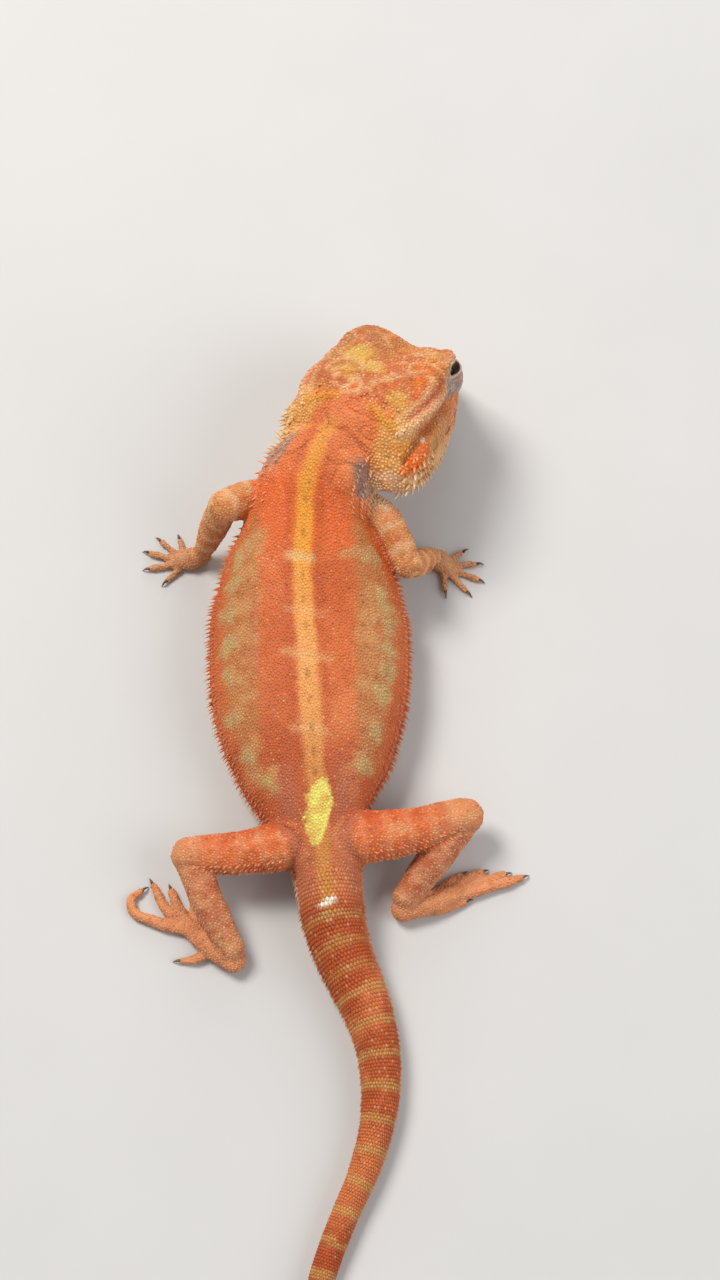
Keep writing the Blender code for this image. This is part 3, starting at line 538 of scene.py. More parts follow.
def flesh_parts():
    """Every surface of the flesh, drawn in by the coat's depth."""
    step = 0.4
    parts = [tube(BODY, np.arange(0.0, BODY.length, step), 96, -COAT)]
    parts.append(tube(HEAD, np.arange(HEAD_ROWS[0][0], HEAD_ROWS[-1][0], 0.25), 96, -COAT))
    for limb in list(LEG_LIMBS.values()) + list(SOLE_LIMBS.values()):
        parts.append(tube(limb, limb.stations(0.4), 32, -COAT))
    for toes in TOE_LIMBS.values():
        for toe in toes:
            parts.append(tube(toe, toe.stations(0.25), 20, -0.5 * COAT))
    for side in (-1, 1):
        radius = EYE_RADIUS * HEAD_SCALE + GAP + LID_THICK - COAT
        parts.append(ellipsoid(HEAD.to_world(side_point(EYE_CENTRE, side)), [radius] * 3, eye_axes(side)))
    return [(points, outward(points, faces)) for points, faces in parts]


def apply_modifiers(obj):
    """Turns an object's modifiers into its mesh."""
    bpy.context.view_layer.update()
    mesh = bpy.data.meshes.new_from_object(obj.evaluated_get(bpy.context.evaluated_depsgraph_get()))
    obj.modifiers.clear()
    obj.data = mesh


def stored(items, key, size, kind):
    """What a mesh stores for each of its points, edges, corners or triangles, in rows of a size."""
    flat = np.empty(len(items) * size, kind)
    items.foreach_get(key, flat)
    return flat.reshape(-1, size)


def mesh_points(mesh):
    """A mesh's points in millimetres."""
    return stored(mesh.vertices, "co", 3, np.float32).astype(float) / MM


def mesh_normals(mesh):
    """A mesh's point normals."""
    return stored(mesh.vertex_normals, "vector", 3, np.float32).astype(float)


def mesh_edges(mesh):
    """A mesh's edges as pairs of points."""
    return stored(mesh.edges, "vertices", 2, np.int32)


def mesh_triangles(mesh):
    """A mesh's triangles as three points each."""
    mesh.calc_loop_triangles()
    return stored(mesh.loop_triangles, "vertices", 3, np.int32)


def set_points(mesh, points):
    """Moves a mesh's points, given in millimetres."""
    mesh.vertices.foreach_set("co", (points * MM).astype(np.float32).ravel())
    mesh.update()


def relaxed(points, edges, rounds, strength=0.5, back=-0.52):
    """Points smoothed along their edges without shrinking the shape."""
    ends = np.concatenate([edges[:, 0], edges[:, 1]])
    others = np.concatenate([edges[:, 1], edges[:, 0]])
    count = np.maximum(np.bincount(ends, minlength=len(points)), 1)
    for _ in range(rounds):
        for amount in (strength, back):
            sums = [np.bincount(ends, weights=points[others, k], minlength=len(points)) for k in range(3)]
            points = points + amount * (np.column_stack(sums) / count[:, None] - points)
    return points


def noise(points, size, seed, octaves=3):
    """Smooth irregular values between about -1 and 1, with lumps of a size in millimetres."""
    total, weights = np.zeros(len(points)), 0.0
    for octave in range(octaves):
        turned = points @ np.array(Matrix.Rotation(0.7 + octave + seed, 3, (0.5, 0.3, 0.8)))
        place = turned / (size * 0.5 ** octave) + 31.7 * seed
        cell = np.floor(place).astype(np.int64)
        part = place - cell
        part = part * part * (3.0 - 2.0 * part)
        for corner in range(8):
            bits = np.array([corner & 1, (corner >> 1) & 1, corner >> 2])
            at = cell + bits
            lot = (at[:, 0] * 73856093) ^ (at[:, 1] * 19349663) ^ (at[:, 2] * 83492791) ^ (seed * 40503)
            lot = ((lot ^ (lot >> 13)) * 1274126177) & 0x7FFFFFFF
            lot = ((lot ^ (lot >> 15)) & 0xFFFF) / 32767.5 - 1.0
            total += 0.55 ** octave * lot * np.where(bits > 0, part, 1.0 - part).prod(1)
        weights += 0.55 ** octave
    return total / (0.62 * weights)


def cut_with(obj, parts):
    """Cuts closed shapes out of an object one after another."""
    for points, faces in parts:
        tool = new_piece("tool", points, outward(points, faces))
        modifier = obj.modifiers.new("cut", "BOOLEAN")
        modifier.operation = "DIFFERENCE"
        modifier.solver = "MANIFOLD"
        modifier.object = tool
        apply_modifiers(obj)
        bpy.data.objects.remove(tool, do_unlink=True)


def head_cuts():
    """Lid openings, ear cups, nostrils and the mouth line."""
    cuts = []
    for side in (-1, 1):
        axes = eye_axes(side)
        before = axes[:, 0] * (EYE_RADIUS * HEAD_SCALE + LID_FRONT)
        size = (LID_DEPTH, LID_OPENING[0] * HEAD_SCALE, LID_OPENING[1] * HEAD_SCALE)
        cuts.append(ellipsoid(HEAD.to_world(side_point(EYE_CENTRE, side)) + before, size, axes))
        ear = HEAD.to_world(side_point(EAR_CENTRE, side))
        cuts.append(ellipsoid(ear, np.array(EAR_SIZE) * HEAD_SCALE, HEAD.turned))
        nostril = HEAD.to_world(side_point(NOSTRIL_CENTRE, side))
        cuts.append(ellipsoid(nostril, [NOSTRIL_RADIUS] * 3, HEAD.turned, 16, 9))
    groove = Limb([(*p, MOUTH_GROOVE) for p in HEAD.to_world(mouth_path())])
    cuts.append(tube(groove, np.linspace(0.0, groove.length, 120), 8, 0.0))
    return cuts


def hump(distance, width):
    """1 at distance 0, falling smoothly to 0 past a width."""
    return np.exp(-(distance / width) ** 2)


def path_distance(points, path):
    """Distance from points to a line through places."""
    path = np.asarray(path, float)
    best = np.full(len(points), 99.0)
    for a, b in zip(path[:-1], path[1:]):
        t = np.clip(((points - a) @ (b - a)) / ((b - a) @ (b - a)), 0.0, 1.0)
        best = np.minimum(best, np.linalg.norm(points - a - t[:, None] * (b - a), axis=1))
    return best


def eye_place(told, side):
    """Points seen from an eye: along the slit and up in units of the opening, outward, and distance."""
    own = (told["own"] - np.array(EYE_CENTRE) * (side, 1, 1)) @ (HEAD.turned.T @ eye_axes(side))
    return own[:, 1] / LID_OPENING[0], own[:, 2] / LID_OPENING[1], own[:, 0], np.linalg.norm(own, axis=1)


def folded_places(own):
    """Head places with the left side folded onto the right."""
    return np.column_stack([np.abs(own[:, 0]), own[:, 1:]])


def lid_share(up, out, far):
    """How much a place belongs to an eye's lids."""
    return ease(0.0, 0.4, out) * ease(2.75, 2.3, far) * ease(2.4, 1.7, up) * ease(-4.8, -3.4, up)


def lip_distance(folded):
    """Distance from the mouth line, for places folded onto the right side."""
    return path_distance(folded * HEAD_SCALE, mouth_path()[:15])


def head_relief(points, told):
    """Brow ridges and domes, cheek ridges and creases, lid wrinkles and the loose skin behind the head."""
    folded = folded_places(told["own"])
    x, y, z = folded.T
    top = ease(-2.6, -1.4, z)
    flat = folded[:, :2]
    rise = 0.14 * top * hump(path_distance(flat, BROW_RIDGE), 0.5)
    rise -= 0.22 * top * hump(path_distance(flat, BROW_GROOVE), 0.4)
    rise += 0.26 * top * hump(np.hypot(x - 2.8, y - 5.8), 1.5)
    rise -= 0.30 * top * hump(x, 1.1) * ease(3.5, 5.5, y) * ease(10.5, 9.0, y)
    rise += 0.34 * hump(path_distance(folded, CHEEK_RIDGE), 0.45)
    rise += 0.14 * hump(path_distance(folded, INNER_RIDGE), 0.3)
    rise -= 0.12 * hump(path_distance(folded, RED_LINE), 0.26)
    rise -= 0.40 * hump(path_distance(folded, CREASE), 0.42)
    rise += 0.20 * hump(path_distance(folded, CHEEK_BAND), 0.45)
    rise += 0.20 * hump(path_distance(folded, V_ARM), 0.36)
    rise += 0.12 * hump(path_distance(folded, LIP_LINE), 0.4)
    lip = lip_distance(folded)
    rise += 0.10 * hump(lip - 0.38, 0.2) - 0.10 * hump(lip, 0.14)
    behind = ease(1.0, -1.5, y) * top
    folds = np.abs(noise(points * (1.0, 1.0, 0.6), 2.4, 61, 2))
    rise -= 0.16 * behind * hump(folds, 0.16)
    rise += 0.05 * noise(points, 0.9, 62, 2)
    for side in (-1, 1):
        along, up, out, far = eye_place(told, side)
        ring = np.hypot(along, up)
        rise -= 0.28 * hump(far - 2.7, 0.32) * ease(-0.2, 0.5, out)
        lid = lid_share(up, out, far)
        rim = 0.16 * hump(ring - 1.22, 0.2) - 0.07 * hump(ring - 1.62, 0.12)
        rise = rise * (1.0 - 0.8 * lid) + lid * rim
        wave = np.sin(2 * np.pi * (ring + 0.12 * noise(points, 0.8, 63, 2)) / 0.34)
        rise += lid * ease(1.5, 1.8, ring) * 0.05 * wave
    return rise


def fold_depths(points, told):
    """How far the skin rises or sinks on head, neck, trunk and legs."""
    y, side, turn = told["y"], told["side"], told["turn"]
    head, limb = told["head"], told["limb"]
    trunk = (1.0 - head) * (1.0 - limb)
    neck = trunk * ease(11.5, 14.5, y)
    creases = np.abs(noise(points * (0.7, 1.0, 1.0), 2.6, 3, 2))
    rise = neck * (0.05 - 0.18 * hump(creases, 0.14))
    rise += trunk * (0.03 * noise(points, 1.5, 5, 2) + 0.09 * noise(points, 5.5, 6, 1))
    rise += 0.14 * trunk * hump(side - stripe_middle(y), 0.9) * ease(0.05, 0.15, turn) * ease(13.0, 6.0, y)
    hollow = hump(np.abs(side) - 3.4, 1.6) * ease(-10.0, -15.0, y) * ease(-27.0, -21.0, y)
    rise -= 0.22 * trunk * hollow * ease(0.06, 0.14, turn)
    rise += limb * (0.07 * noise(points, 1.4, 8, 2) + 0.05 * noise(points, 3.5, 9, 1))
    return rise + head * head_relief(points, told)


def make_skin():
    """One closed skin over head, neck, trunk, tail and legs."""
    obj = new_piece("skin", *merged(flesh_parts()))
    remesh = obj.modifiers.new("join", "REMESH")
    remesh.mode = "VOXEL"
    remesh.voxel_size = VOXEL * MM
    apply_modifiers(obj)
    points = relaxed(mesh_points(obj.data), mesh_edges(obj.data), 5)
    set_points(obj.data, points)
    points = points + mesh_normals(obj.data) * fold_depths(points, describe(points))[:, None]
    points[:, 2] = np.maximum(points[:, 2], 0.04)
    set_points(obj.data, points)
    cut_with(obj, head_cuts())
    decimate = obj.modifiers.new("lighter", "DECIMATE")
    decimate.ratio = min(1.0, SKIN_TRIANGLES / len(mesh_triangles(obj.data)))
    apply_modifiers(obj)
    obj.data.shade_smooth()
    obj.name = obj.data.name = "skin"
    return obj


# Where a point lies and which direction the scales run there

def all_limbs():
    """Every length of the legs, with how much of it is foot, arm and lower leg."""
    for name, limb in {**LEG_LIMBS, **SOLE_LIMBS}.items():
        arm, lower = "arm" in name or "hand" in name, "fore" in name or "shin" in name
        yield limb, float(name in SOLES), float(arm), float(lower)
    for name, toes in TOE_LIMBS.items():
        for toe in toes:
            yield toe, 1.0, float("hand" in name), 0.0


def describe(points):
    """Part weights and body coordinates for points."""
    at, side, turn, off_body = BODY.locate(points)
    own = HEAD.to_head(points) / HEAD_SCALE
    edge = -2.6 - 2.0 * ease(1.2, 3.6, np.abs(own[:, 0]))
    head = ease(edge - 0.9, edge + 0.9, own[:, 1]) * ease(6.6, 5.6, np.abs(own[:, 2] + 4.6))
    head = head * ease(10.5, 9.0, np.abs(own[:, 0]))
    y = np.interp(at, BODY.keys, BODY.rows[:, 1])
    told = {"at": at, "side": side, "turn": turn, "own": own, "y": y}
    for name in ("leg_at", "leg_turn", "leg_front", "foot", "arm", "lower", "leg"):
        told[name] = np.zeros(len(points))
    best = np.full(len(points), 8.0)
    flow = np.zeros((len(points), 3))
    for number, (limb, foot, arm, lower) in enumerate(all_limbs()):
        along, off, around, front = limb.locate(points)
        closer = np.abs(off) < best
        best[closer] = np.abs(off[closer])
        for name, value in (("leg_at", along), ("leg_turn", around), ("leg_front", front)):
            told[name][closer] = value[closer]
        for name, value in (("foot", foot), ("arm", arm), ("lower", lower), ("leg", number)):
            told[name][closer] = value
        if closer.any():
            flow[closer] = limb.frames(along[closer])[2]
    away = np.where(head > 0.5, 3.0, np.abs(off_body))
    told["limb"] = ease(-0.25, 0.6, away - best) * (1.0 - head)
    told["foot"] *= told["limb"]
    told["head"] = head
    back = -BODY.frames(at)[1] * (1.0 - head)[:, None] - HEAD.turned[:, 1] * head[:, None]
    told["flow"] = unit(back * (1.0 - told["limb"])[:, None] + flow * told["limb"][:, None])
    return told


# Markings

GLOSS = 0.018


def shade(red, green, blue):
    """The paint that shows as an eight-bit screen colour: its light less what the gloss adds."""
    values = np.array([red, green, blue]) / 255.0
    return np.maximum(((values + 0.055) / 1.055) ** 2.4 - GLOSS, 0.002)


def mix(colour, other, amount):
    """Colours blended towards another by an amount for each point."""
    return colour + (np.asarray(other) - colour) * np.clip(amount, 0.0, 1.0)[:, None]


def ramp(value, stops):
    """Colours along a value from stops of (value, colour), with rising values."""
    keys = [stop[0] for stop in stops]
    return np.column_stack([np.interp(value, keys, [stop[1][k] for stop in stops]) for k in range(3)])


# Colours, given as they show on the screen

GROUND = shade(213, 117, 71)
FRONT = shade(226, 114, 64)
REAR = shade(193, 104, 66)
TAIL_BROWN = shade(177, 86, 50)
TAIL_BASE = shade(204, 122, 78)
TAIL_TAN = shade(194, 150, 88)
RUST = shade(182, 82, 46)
WARM = shade(230, 146, 92)
MAUVE = shade(178, 110, 85)
BAND_TAN = shade(186, 128, 80)
MARGIN = shade(196, 100, 58)
BLOTCH_TAN = shade(206, 152, 100)
BLOTCH_GREEN = shade(194, 168, 114)
BAR_CREAM = shade(232, 188, 128)
NECK = shade(240, 144, 90)
NECK_GREY = shade(168, 140, 120)
DARK_DOT = shade(120, 62, 36)
YELLOW = shade(233, 222, 114)
YELLOW_DEEP = shade(220, 178, 92)
FLECK = shade(240, 234, 216)
# Grey-violet on the right of the neck: partly the skin's own grey, partly painted shade of a skin fold
VIOLET_SHADE_GREY = shade(150, 125, 118)
BELLY = shade(232, 200, 164)
LIMB_ORANGE = shade(224, 122, 74)
DEEP_EDGE = shade(200, 88, 48)
LIMB_TAN = shade(216, 158, 110)
LIMB_PALE = shade(232, 196, 150)
SHIN = shade(204, 134, 96)
ARM_ORANGE = shade(212, 140, 87)
FOOT_BEIGE = shade(222, 152, 106)
HAND_TAN = shade(206, 150, 108)
TOE_TAN = shade(186, 112, 76)
HEAD_ORANGE = shade(208, 124, 76)
HEAD_YELLOW = shade(220, 154, 88)
HEAD_RED = shade(206, 104, 66)
HEAD_CREAM = shade(234, 190, 140)
HEAD_TAN = shade(236, 174, 100)
NAPE_ORANGE = shade(230, 122, 68)
BRIGHT_ORANGE = shade(238, 132, 50)
# Left side of the head: partly its own pinker tan, partly painted shade
LEFT_SHADED_TAN = shade(190, 126, 84)
BRIGHT_YELLOW = shade(232, 194, 96)
BROW_PINK = shade(216, 150, 118)
SPOT_RED = shade(206, 84, 52)
RIDGE_CREAM = shade(238, 200, 156)
LINE_RED = shade(222, 98, 70)
# Painted shade in the cheek crease
CREASE_SHADE_BROWN = shade(166, 78, 44)
CHEEK_OLIVE = shade(200, 162, 112)
WEDGE_RED = shade(238, 124, 58)
V_YELLOW = shade(238, 164, 64)
SPOT_WHITE = shade(244, 236, 196)
BEARD = shade(226, 184, 134)
BEARD_YELLOW = shade(230, 196, 134)
MOUTH_DARK = shade(96, 54, 40)
LID_GREY = shade(182, 170, 162)
LID_DARK = shade(128, 108, 98)
LID_RIM = shade(232, 204, 176)
SPINE_TIP = shade(240, 214, 178)
PUPIL = shade(22, 17, 14)
IRIS = shade(96, 60, 34)
EYE_DARK = shade(46, 34, 28)

# Places of the markings on neck, trunk and tail: y along the centre line, in some with offsets or sizes

STRIPE_MIDDLES = (
    (-25.5, -20.9, -16.2, -11.5, -7.0, 2.4, 6.6, 11.8, 13.3, 15.7, 17.0, 18.0),
    (-0.3, -0.1, 0.3, 0.3, 0.2, -0.3, -0.4, -0.1, -0.25, -0.6, -0.9, -1.3),
)
STRIPE_WIDTHS = (
    (-25.5, -19.0, -15.2, -11.5, -7.7, 0.0, 3.9, 8.8, 17.6),
    (0.62, 0.66, 0.78, 0.94, 1.02, 0.94, 0.88, 0.82, 0.76),
)
STRIPE_COLOURS = [
    (-26.5, shade(202, 142, 66)), (-20.9, shade(206, 144, 70)), (-12.4, shade(220, 154, 88)),
    (-7.7, shade(232, 166, 98)), (-1.9, shade(234, 168, 100)), (3.9, shade(235, 164, 84)),
    (7.9, shade(238, 164, 68)), (12.7, shade(236, 160, 64)), (17.6, shade(228, 152, 74)),
]
GROUND_COLOURS = [
    (-27.0, TAIL_BROWN), (-25.0, TAIL_BASE), (-21.5, TAIL_BASE), (-18.5, REAR), (-13.0, REAR),
    (-3.0, GROUND), (5.0, GROUND), (10.0, FRONT), (13.5, FRONT), (16.5, NECK),
]
STRIPE_DOTS = (12.4, 9.3, 5.1, 2.9, 0.2, -4.6, -7.2, -10.0, -12.2, -14.3)
CROSSBARS = ((6.8, 1.8, 0.6, 0.85), (1.6, 2.0, 1.6, 0.3), (-2.8, 2.5, 2.3, 0.4), (-10.1, 1.6, 1.6, 0.4))
LEFT_BLOTCHES = (8.4, 5.8, 2.9, -0.2, -3.9, -7.2, -11.2, -14.0)
RIGHT_BLOTCHES = (7.8, 3.7, 1.6, -0.7, -3.0, -5.4, -9.3, -13.0)
TAIL_RINGS = ((-27.4, 0.42, 0.8), (-29.9, 0.42, 0.65), (-32.2, 0.4, 0.45))
# A line on the right of the neck painted grey-violet, partly as painted shade of a skin fold
VIOLET_SHADE_LINE = [(4.5, 16.5, 13.4), (6.2, 14.0, 12.2)]

# Places on the head in its own frame at the size of the sections; lines and spots lie on both sides

BROW_RIDGE = [(3.2, 10.4), (4.4, 9.2), (5.1, 7.6), (5.2, 5.8), (5.0, 4.2), (5.4, 2.5)]
BROW_GROOVE = [(2.6, 9.6), (3.6, 8.4), (4.1, 7.2), (4.2, 5.8), (4.0, 4.4)]
CHEEK_RIDGE = [
    (5.4, 5.2, -1.6), (5.9, 4.0, -2.1), (6.1, 1.0, -1.75), (5.85, -0.9, -2.0), (5.1, -2.6, -2.65),
]
RED_LINE = [(5.6, 4.4, -0.9), (5.7, 2.9, -1.15), (5.8, 0.3, -1.4), (5.4, -1.2, -1.6)]
INNER_RIDGE = [(5.2, 3.4, -0.55), (5.35, 1.2, -0.9), (5.0, -0.8, -1.2), (4.6, -2.2, -1.9)]
CREASE = [(6.1, 4.8, -3.6), (6.48, 2.3, -3.0), (6.6, -1.0, -3.2), (6.34, -2.4, -4.2), (6.0, -3.1, -5.1)]
CHEEK_BAND = [(6.54, 3.66, -4.4), (6.84, 1.1, -5.4), (7.4, -2.06, -5.9)]
WEDGE = [(6.98, -1.15, -4.57), (6.28, -3.18, -6.0)]
LIP_LINE = [(5.8, 6.9, -5.8), (6.8, 3.25, -6.6), (7.8, -1.4, -7.0)]
CORNER_ROW = [(4.4, -4.3, -6.6), (5.8, -3.6, -6.5), (7.0, -2.3, -7.1)]
LEFT_TUFT = [(-6.5, -2.4, -4.6), (-6.7, -3.7, -6.2)]
V_ARM = [(1.84, -2.31, -1.02), (3.13, -2.6, -1.54), (4.39, -2.81, -2.28)]
HEAD_LINES = (
    # The first line is brown along the cheek crease: painted shade in the crease.
    (CREASE, 0.75, CREASE_SHADE_BROWN, 0.75),
    (CHEEK_BAND, 0.65, CHEEK_OLIVE, 0.75),
    (LIP_LINE, 0.45, BEARD, 0.6),
    (INNER_RIDGE, 0.32, HEAD_CREAM, 0.75),
    (RED_LINE, 0.34, LINE_RED, 0.8),
    (CHEEK_RIDGE, 0.5, RIDGE_CREAM, 0.9),
    (CORNER_ROW, 0.5, SPINE_TIP, 0.85),
    (V_ARM, 0.45, V_YELLOW, 0.8),
)
HEAD_SPOTS = (
    ((6.75, -1.0, -3.6), 0.45, SPOT_WHITE, 0.9), ((6.2, -3.4, -7.5), 0.7, WEDGE_RED, 0.5),
    ((3.55, -2.2, -1.5), 0.5, NAPE_ORANGE, 0.6), ((5.56, -3.0, -4.05), 0.9, V_YELLOW, 0.5),
    ((5.14, -3.78, -5.43), 1.0, HEAD_TAN, 0.7), ((3.84, -4.3, -5.3), 1.0, HEAD_TAN, 0.7),
    ((1.8, -3.8, -2.5), 0.7, NAPE_ORANGE, 0.7), ((2.8, -3.8, -3.0), 0.7, NAPE_ORANGE, 0.7),
)

CROWN_TONE = (0.88, 0.85, 0.76)

# Marks on the crown: to the right, forward, half width, half length, colour and strength

CROWN_MARKS = (
    # The first mark and the last darken the left side of the head to tan: partly its own tan, partly
    # painted shade.
    (-3.8, 4.0, 3.2, 7.0, LEFT_SHADED_TAN, 0.8),
    (0.7, 0.2, 0.5, 0.9, HEAD_CREAM, 0.75),
    (-1.07, -0.54, 0.3, 0.4, SPOT_RED, 0.6),
    (2.34, 1.02, 0.35, 0.35, SPOT_RED, 0.6),
    (1.9, 0.06, 0.3, 0.3, SPOT_RED, 0.6),
    (-0.7, -1.2, 0.95, 1.1, RIDGE_CREAM, 0.85),
    (-0.7, -1.2, 0.5, 0.6, NAPE_ORANGE, 0.95),
    (3.5, 4.4, 0.7, 1.1, BRIGHT_ORANGE, 0.65),
    (4.2, 2.8, 0.6, 1.1, BRIGHT_ORANGE, 0.65),
    (4.5, 1.2, 0.5, 0.9, BRIGHT_ORANGE, 0.55),
    (2.2, 7.4, 1.1, 1.4, HEAD_CREAM, 0.55),
    (-2.6, 3.2, 1.7, 1.5, BRIGHT_YELLOW, 0.75),
    (-0.5, 2.2, 1.3, 1.0, BRIGHT_YELLOW, 0.7),
    (-2.3, 0.5, 1.3, 1.0, BRIGHT_YELLOW, 0.55),
    (3.6, -0.6, 1.2, 1.2, BRIGHT_YELLOW, 0.5),
    (3.4, 7.2, 1.0, 1.4, BRIGHT_YELLOW, 0.45),
    (-5.6, 3.6, 0.9, 3.0, BROW_PINK, 0.6),
    (4.9, 7.6, 0.8, 1.6, BROW_PINK, 0.7),
    (2.2, 2.4, 0.9, 1.4, BROW_PINK, 0.4),
    (-4.5, 6.5, 0.6, 1.1, HEAD_YELLOW, 0.7),
    (-3.5, 8.3, 0.6, 0.9, HEAD_CREAM, 0.6),
    (-0.7, 8.4, 0.8, 1.4, LEFT_SHADED_TAN, 0.6),
)

# Rows of spines: place round the section, ends of the row and lengths at them

FRINGE_ROWS = ((0.012, 0.74, 0.36), (-0.022, 0.62, 0.40), (0.045, 0.42, 0.50), (-0.055, 0.36, 0.55))
NECK_ROWS = ((0.13, 0.35), (0.09, 0.5), (0.035, 0.7), (-0.03, 0.8), (-0.09, 0.7), (-0.14, 0.6))
HEAD_SPINE_ROWS = (
    (0.03, -1.0, -1.8, 0.35, 0.45), (0.055, -1.1, -2.1, 0.35, 0.5), (0.08, -1.3, -2.4, 0.4, 0.5),
    (0.125, -1.2, -3.2, 0.30, 0.45), (0.192, -1.8, -3.4, 0.30, 0.60),
    (0.232, -1.2, -3.4, 0.45, 0.90), (0.268, -0.2, -3.6, 0.60, 1.00), (0.305, 0.3, -3.4, 0.65, 1.00),
    (0.340, 0.8, -3.4, 0.70, 1.00), (0.375, 6.4, -3.2, 0.40, 0.85), (0.410, 6.0, -3.4, 0.40, 0.80),
    (0.450, 5.6, -3.4, 0.35, 0.70),
)


def stripe_middle(y):
    """Offset of the back's stripe from the centre line."""
    return np.interp(y, *STRIPE_MIDDLES)


def body_ground(points, told):
    """Ground colour of neck, trunk and tail."""
    y, side, turn = told["y"], told["side"], told["turn"]
    rough, broad = noise(points, 2.0, 21), noise(points, 6.5, 23, 2)
    colour = ramp(y, GROUND_COLOURS)
    colour = mix(colour, RUST, 0.38 * ease(0.0, 0.9, broad + 0.3 * rough))
    colour = mix(colour, WARM, 0.42 * ease(0.0, 0.9, 0.5 * rough - broad))
    mauve = hump(np.abs(side) - 2.6, 1.3) * ease(-11.0, -16.0, y) * ease(-28.0, -23.0, y)
    colour = mix(colour, MAUVE, 0.6 * mauve * ease(0.03, 0.1, turn))
    return colour


def body_paint(points, told):
    """Markings of neck, trunk and tail."""
    y, side, turn, at = told["y"], told["side"], told["turn"], told["at"]
    rough, fine = noise(points, 1.7, 24), noise(points, 0.8, 25, 2)
    above = ease(-0.02, 0.05, turn) * ease(0.52, 0.45, turn)
    colour = body_ground(points, told)
    half = np.interp(at, BODY.keys, BODY.rows[:, 2])
    wide = np.abs(side)
    trunk = ease(-19.0, -15.0, y) * ease(14.5, 10.5, y)
    band = ease(4.2, 5.4, wide + 0.35 * rough) * ease(half - 0.9, half - 2.0, wide + 0.25 * rough)
    band = band * trunk * above
    colour = mix(colour, BAND_TAN, 0.75 * band)
    margin = ease(half - 1.9, half - 1.0, wide) * trunk
    colour = mix(colour, MARGIN, 0.55 * margin)
    warp, bend = 1.2 * noise(points, 1.9, 26), 1.2 * noise(points, 1.9, 27)
    for flank, rows in ((-1.0, LEFT_BLOTCHES), (1.0, RIGHT_BLOTCHES)):
        mine = ease(-0.5, 0.5, side * flank) * above
        for place in rows:
            inner = np.hypot((wide - 0.64 * half + warp) / 1.4, y - place + 0.8 * bend)
            outer = np.hypot((wide - (half - 2.1) + 0.6 * warp) / 0.9, y - place + 0.7 + 0.8 * bend)
            colour = mix(colour, BLOTCH_TAN, 0.72 * mine * ease(1.35, 0.5, inner))
            colour = mix(colour, BLOTCH_GREEN, 0.68 * mine * ease(1.35, 0.5, outer))
    veins = hump(np.abs(noise(points * (1.0, 0.7, 1.0), 1.5, 28, 2)), 0.13)
    colour = mix(colour, RUST, 0.32 * veins * band)
    off = np.abs(side - stripe_middle(y) + 0.16 * rough)
    width = np.interp(y, *STRIPE_WIDTHS)
    edge = hump(off - width - 0.7, 0.45) * ease(-26.0, -18.0, y) * ease(19.0, 16.0, y)
    colour = mix(colour, RUST, 0.32 * edge * above)
    stripe = ease(width + 0.35, width - 0.3, off) * above * ease(-27.2, -26.2, y) * ease(19.6, 17.8, y)
    strength = np.interp(y, [-28.0, -22.0, -16.0, -8.0, 5.0], [0.75, 0.62, 0.72, 0.88, 0.95])
    painted = mix(ramp(y, STRIPE_COLOURS), WARM, 0.25 * ease(0.1, 0.9, fine))
    colour = mix(colour, painted, stripe * strength)
    for place, left, right, amount in CROSSBARS:
        reach = ease(-left - 0.7, -left + 0.2, side) * ease(right + 0.7, right - 0.2, side)
        bar = hump(y - place + 0.18 * side - 0.22 * rough, 0.42) * reach * above
        colour = mix(colour, BAR_CREAM, amount * bar)
    for place in STRIPE_DOTS:
        spot = np.hypot((y - place) / 0.42, (side - stripe_middle(y)) / 0.26)
        colour = mix(colour, DARK_DOT, 0.36 * ease(1.3, 0.5, spot) * above)
    lean = np.interp(y, [-21.1, -17.9, -14.7], [-0.8, 0.1, 1.1])
    across = (side - lean + 0.3 * fine) / np.interp(y, [-21.0, -16.5], [1.1, 1.4])
    mark = np.hypot(across, (y + 17.9 + 0.35 * fine) / 3.15)
    patch = ease(1.06, 0.92, mark) * above
    colour = mix(colour, ramp(fine, [(-0.6, YELLOW_DEEP), (0.5, YELLOW)]), 0.97 * patch)
    ring_at = y + 0.05 * side ** 2 - 0.22 * fine
    for place, thick, amount in TAIL_RINGS:
        ring = hump(ring_at - place, thick) * (0.55 + 0.45 * hump(side + 0.3, 1.6))
        colour = mix(colour, TAIL_TAN, amount * ring * above)
    beyond = np.abs(((at - BODY.along(-34.4)) / 3.0 + 0.07 * fine) % 1.0 - 0.5) * 2.0
    colour = mix(colour, TAIL_TAN, 0.62 * ease(0.6, 0.9, beyond) * ease(-33.2, -34.4, y))
    fleck = np.hypot((side + 0.35) / 1.15, (y + 26.35 - 0.12 * side + 0.3 * fine) / 0.36)
    colour = mix(colour, FLECK, 0.9 * ease(1.15, 0.7, fleck) * above)
    # Grey-violet along a line on the right of the neck: partly the skin's own grey, partly painted shade of
    # a skin fold.
    violet_shade = path_distance(points, VIOLET_SHADE_LINE)
    colour = mix(colour, VIOLET_SHADE_GREY, 0.85 * ease(1.75, 1.15, violet_shade + 0.15 * fine))
    grey = ease(-3.2, -4.2, side + 0.3 * rough) * ease(13.5, 15.5, y) * ease(20.5, 19.0, y)
    colour = mix(colour, NECK_GREY, 0.8 * grey)
    under = ease(0.02, -0.10, turn) + ease(0.48, 0.55, turn) + ease(-0.40, -0.47, turn)
    colour = mix(colour, BELLY, 0.75 * np.clip(under, 0.0, 1.0) * ease(0.55, 0.45, np.abs(turn)))
    return colour


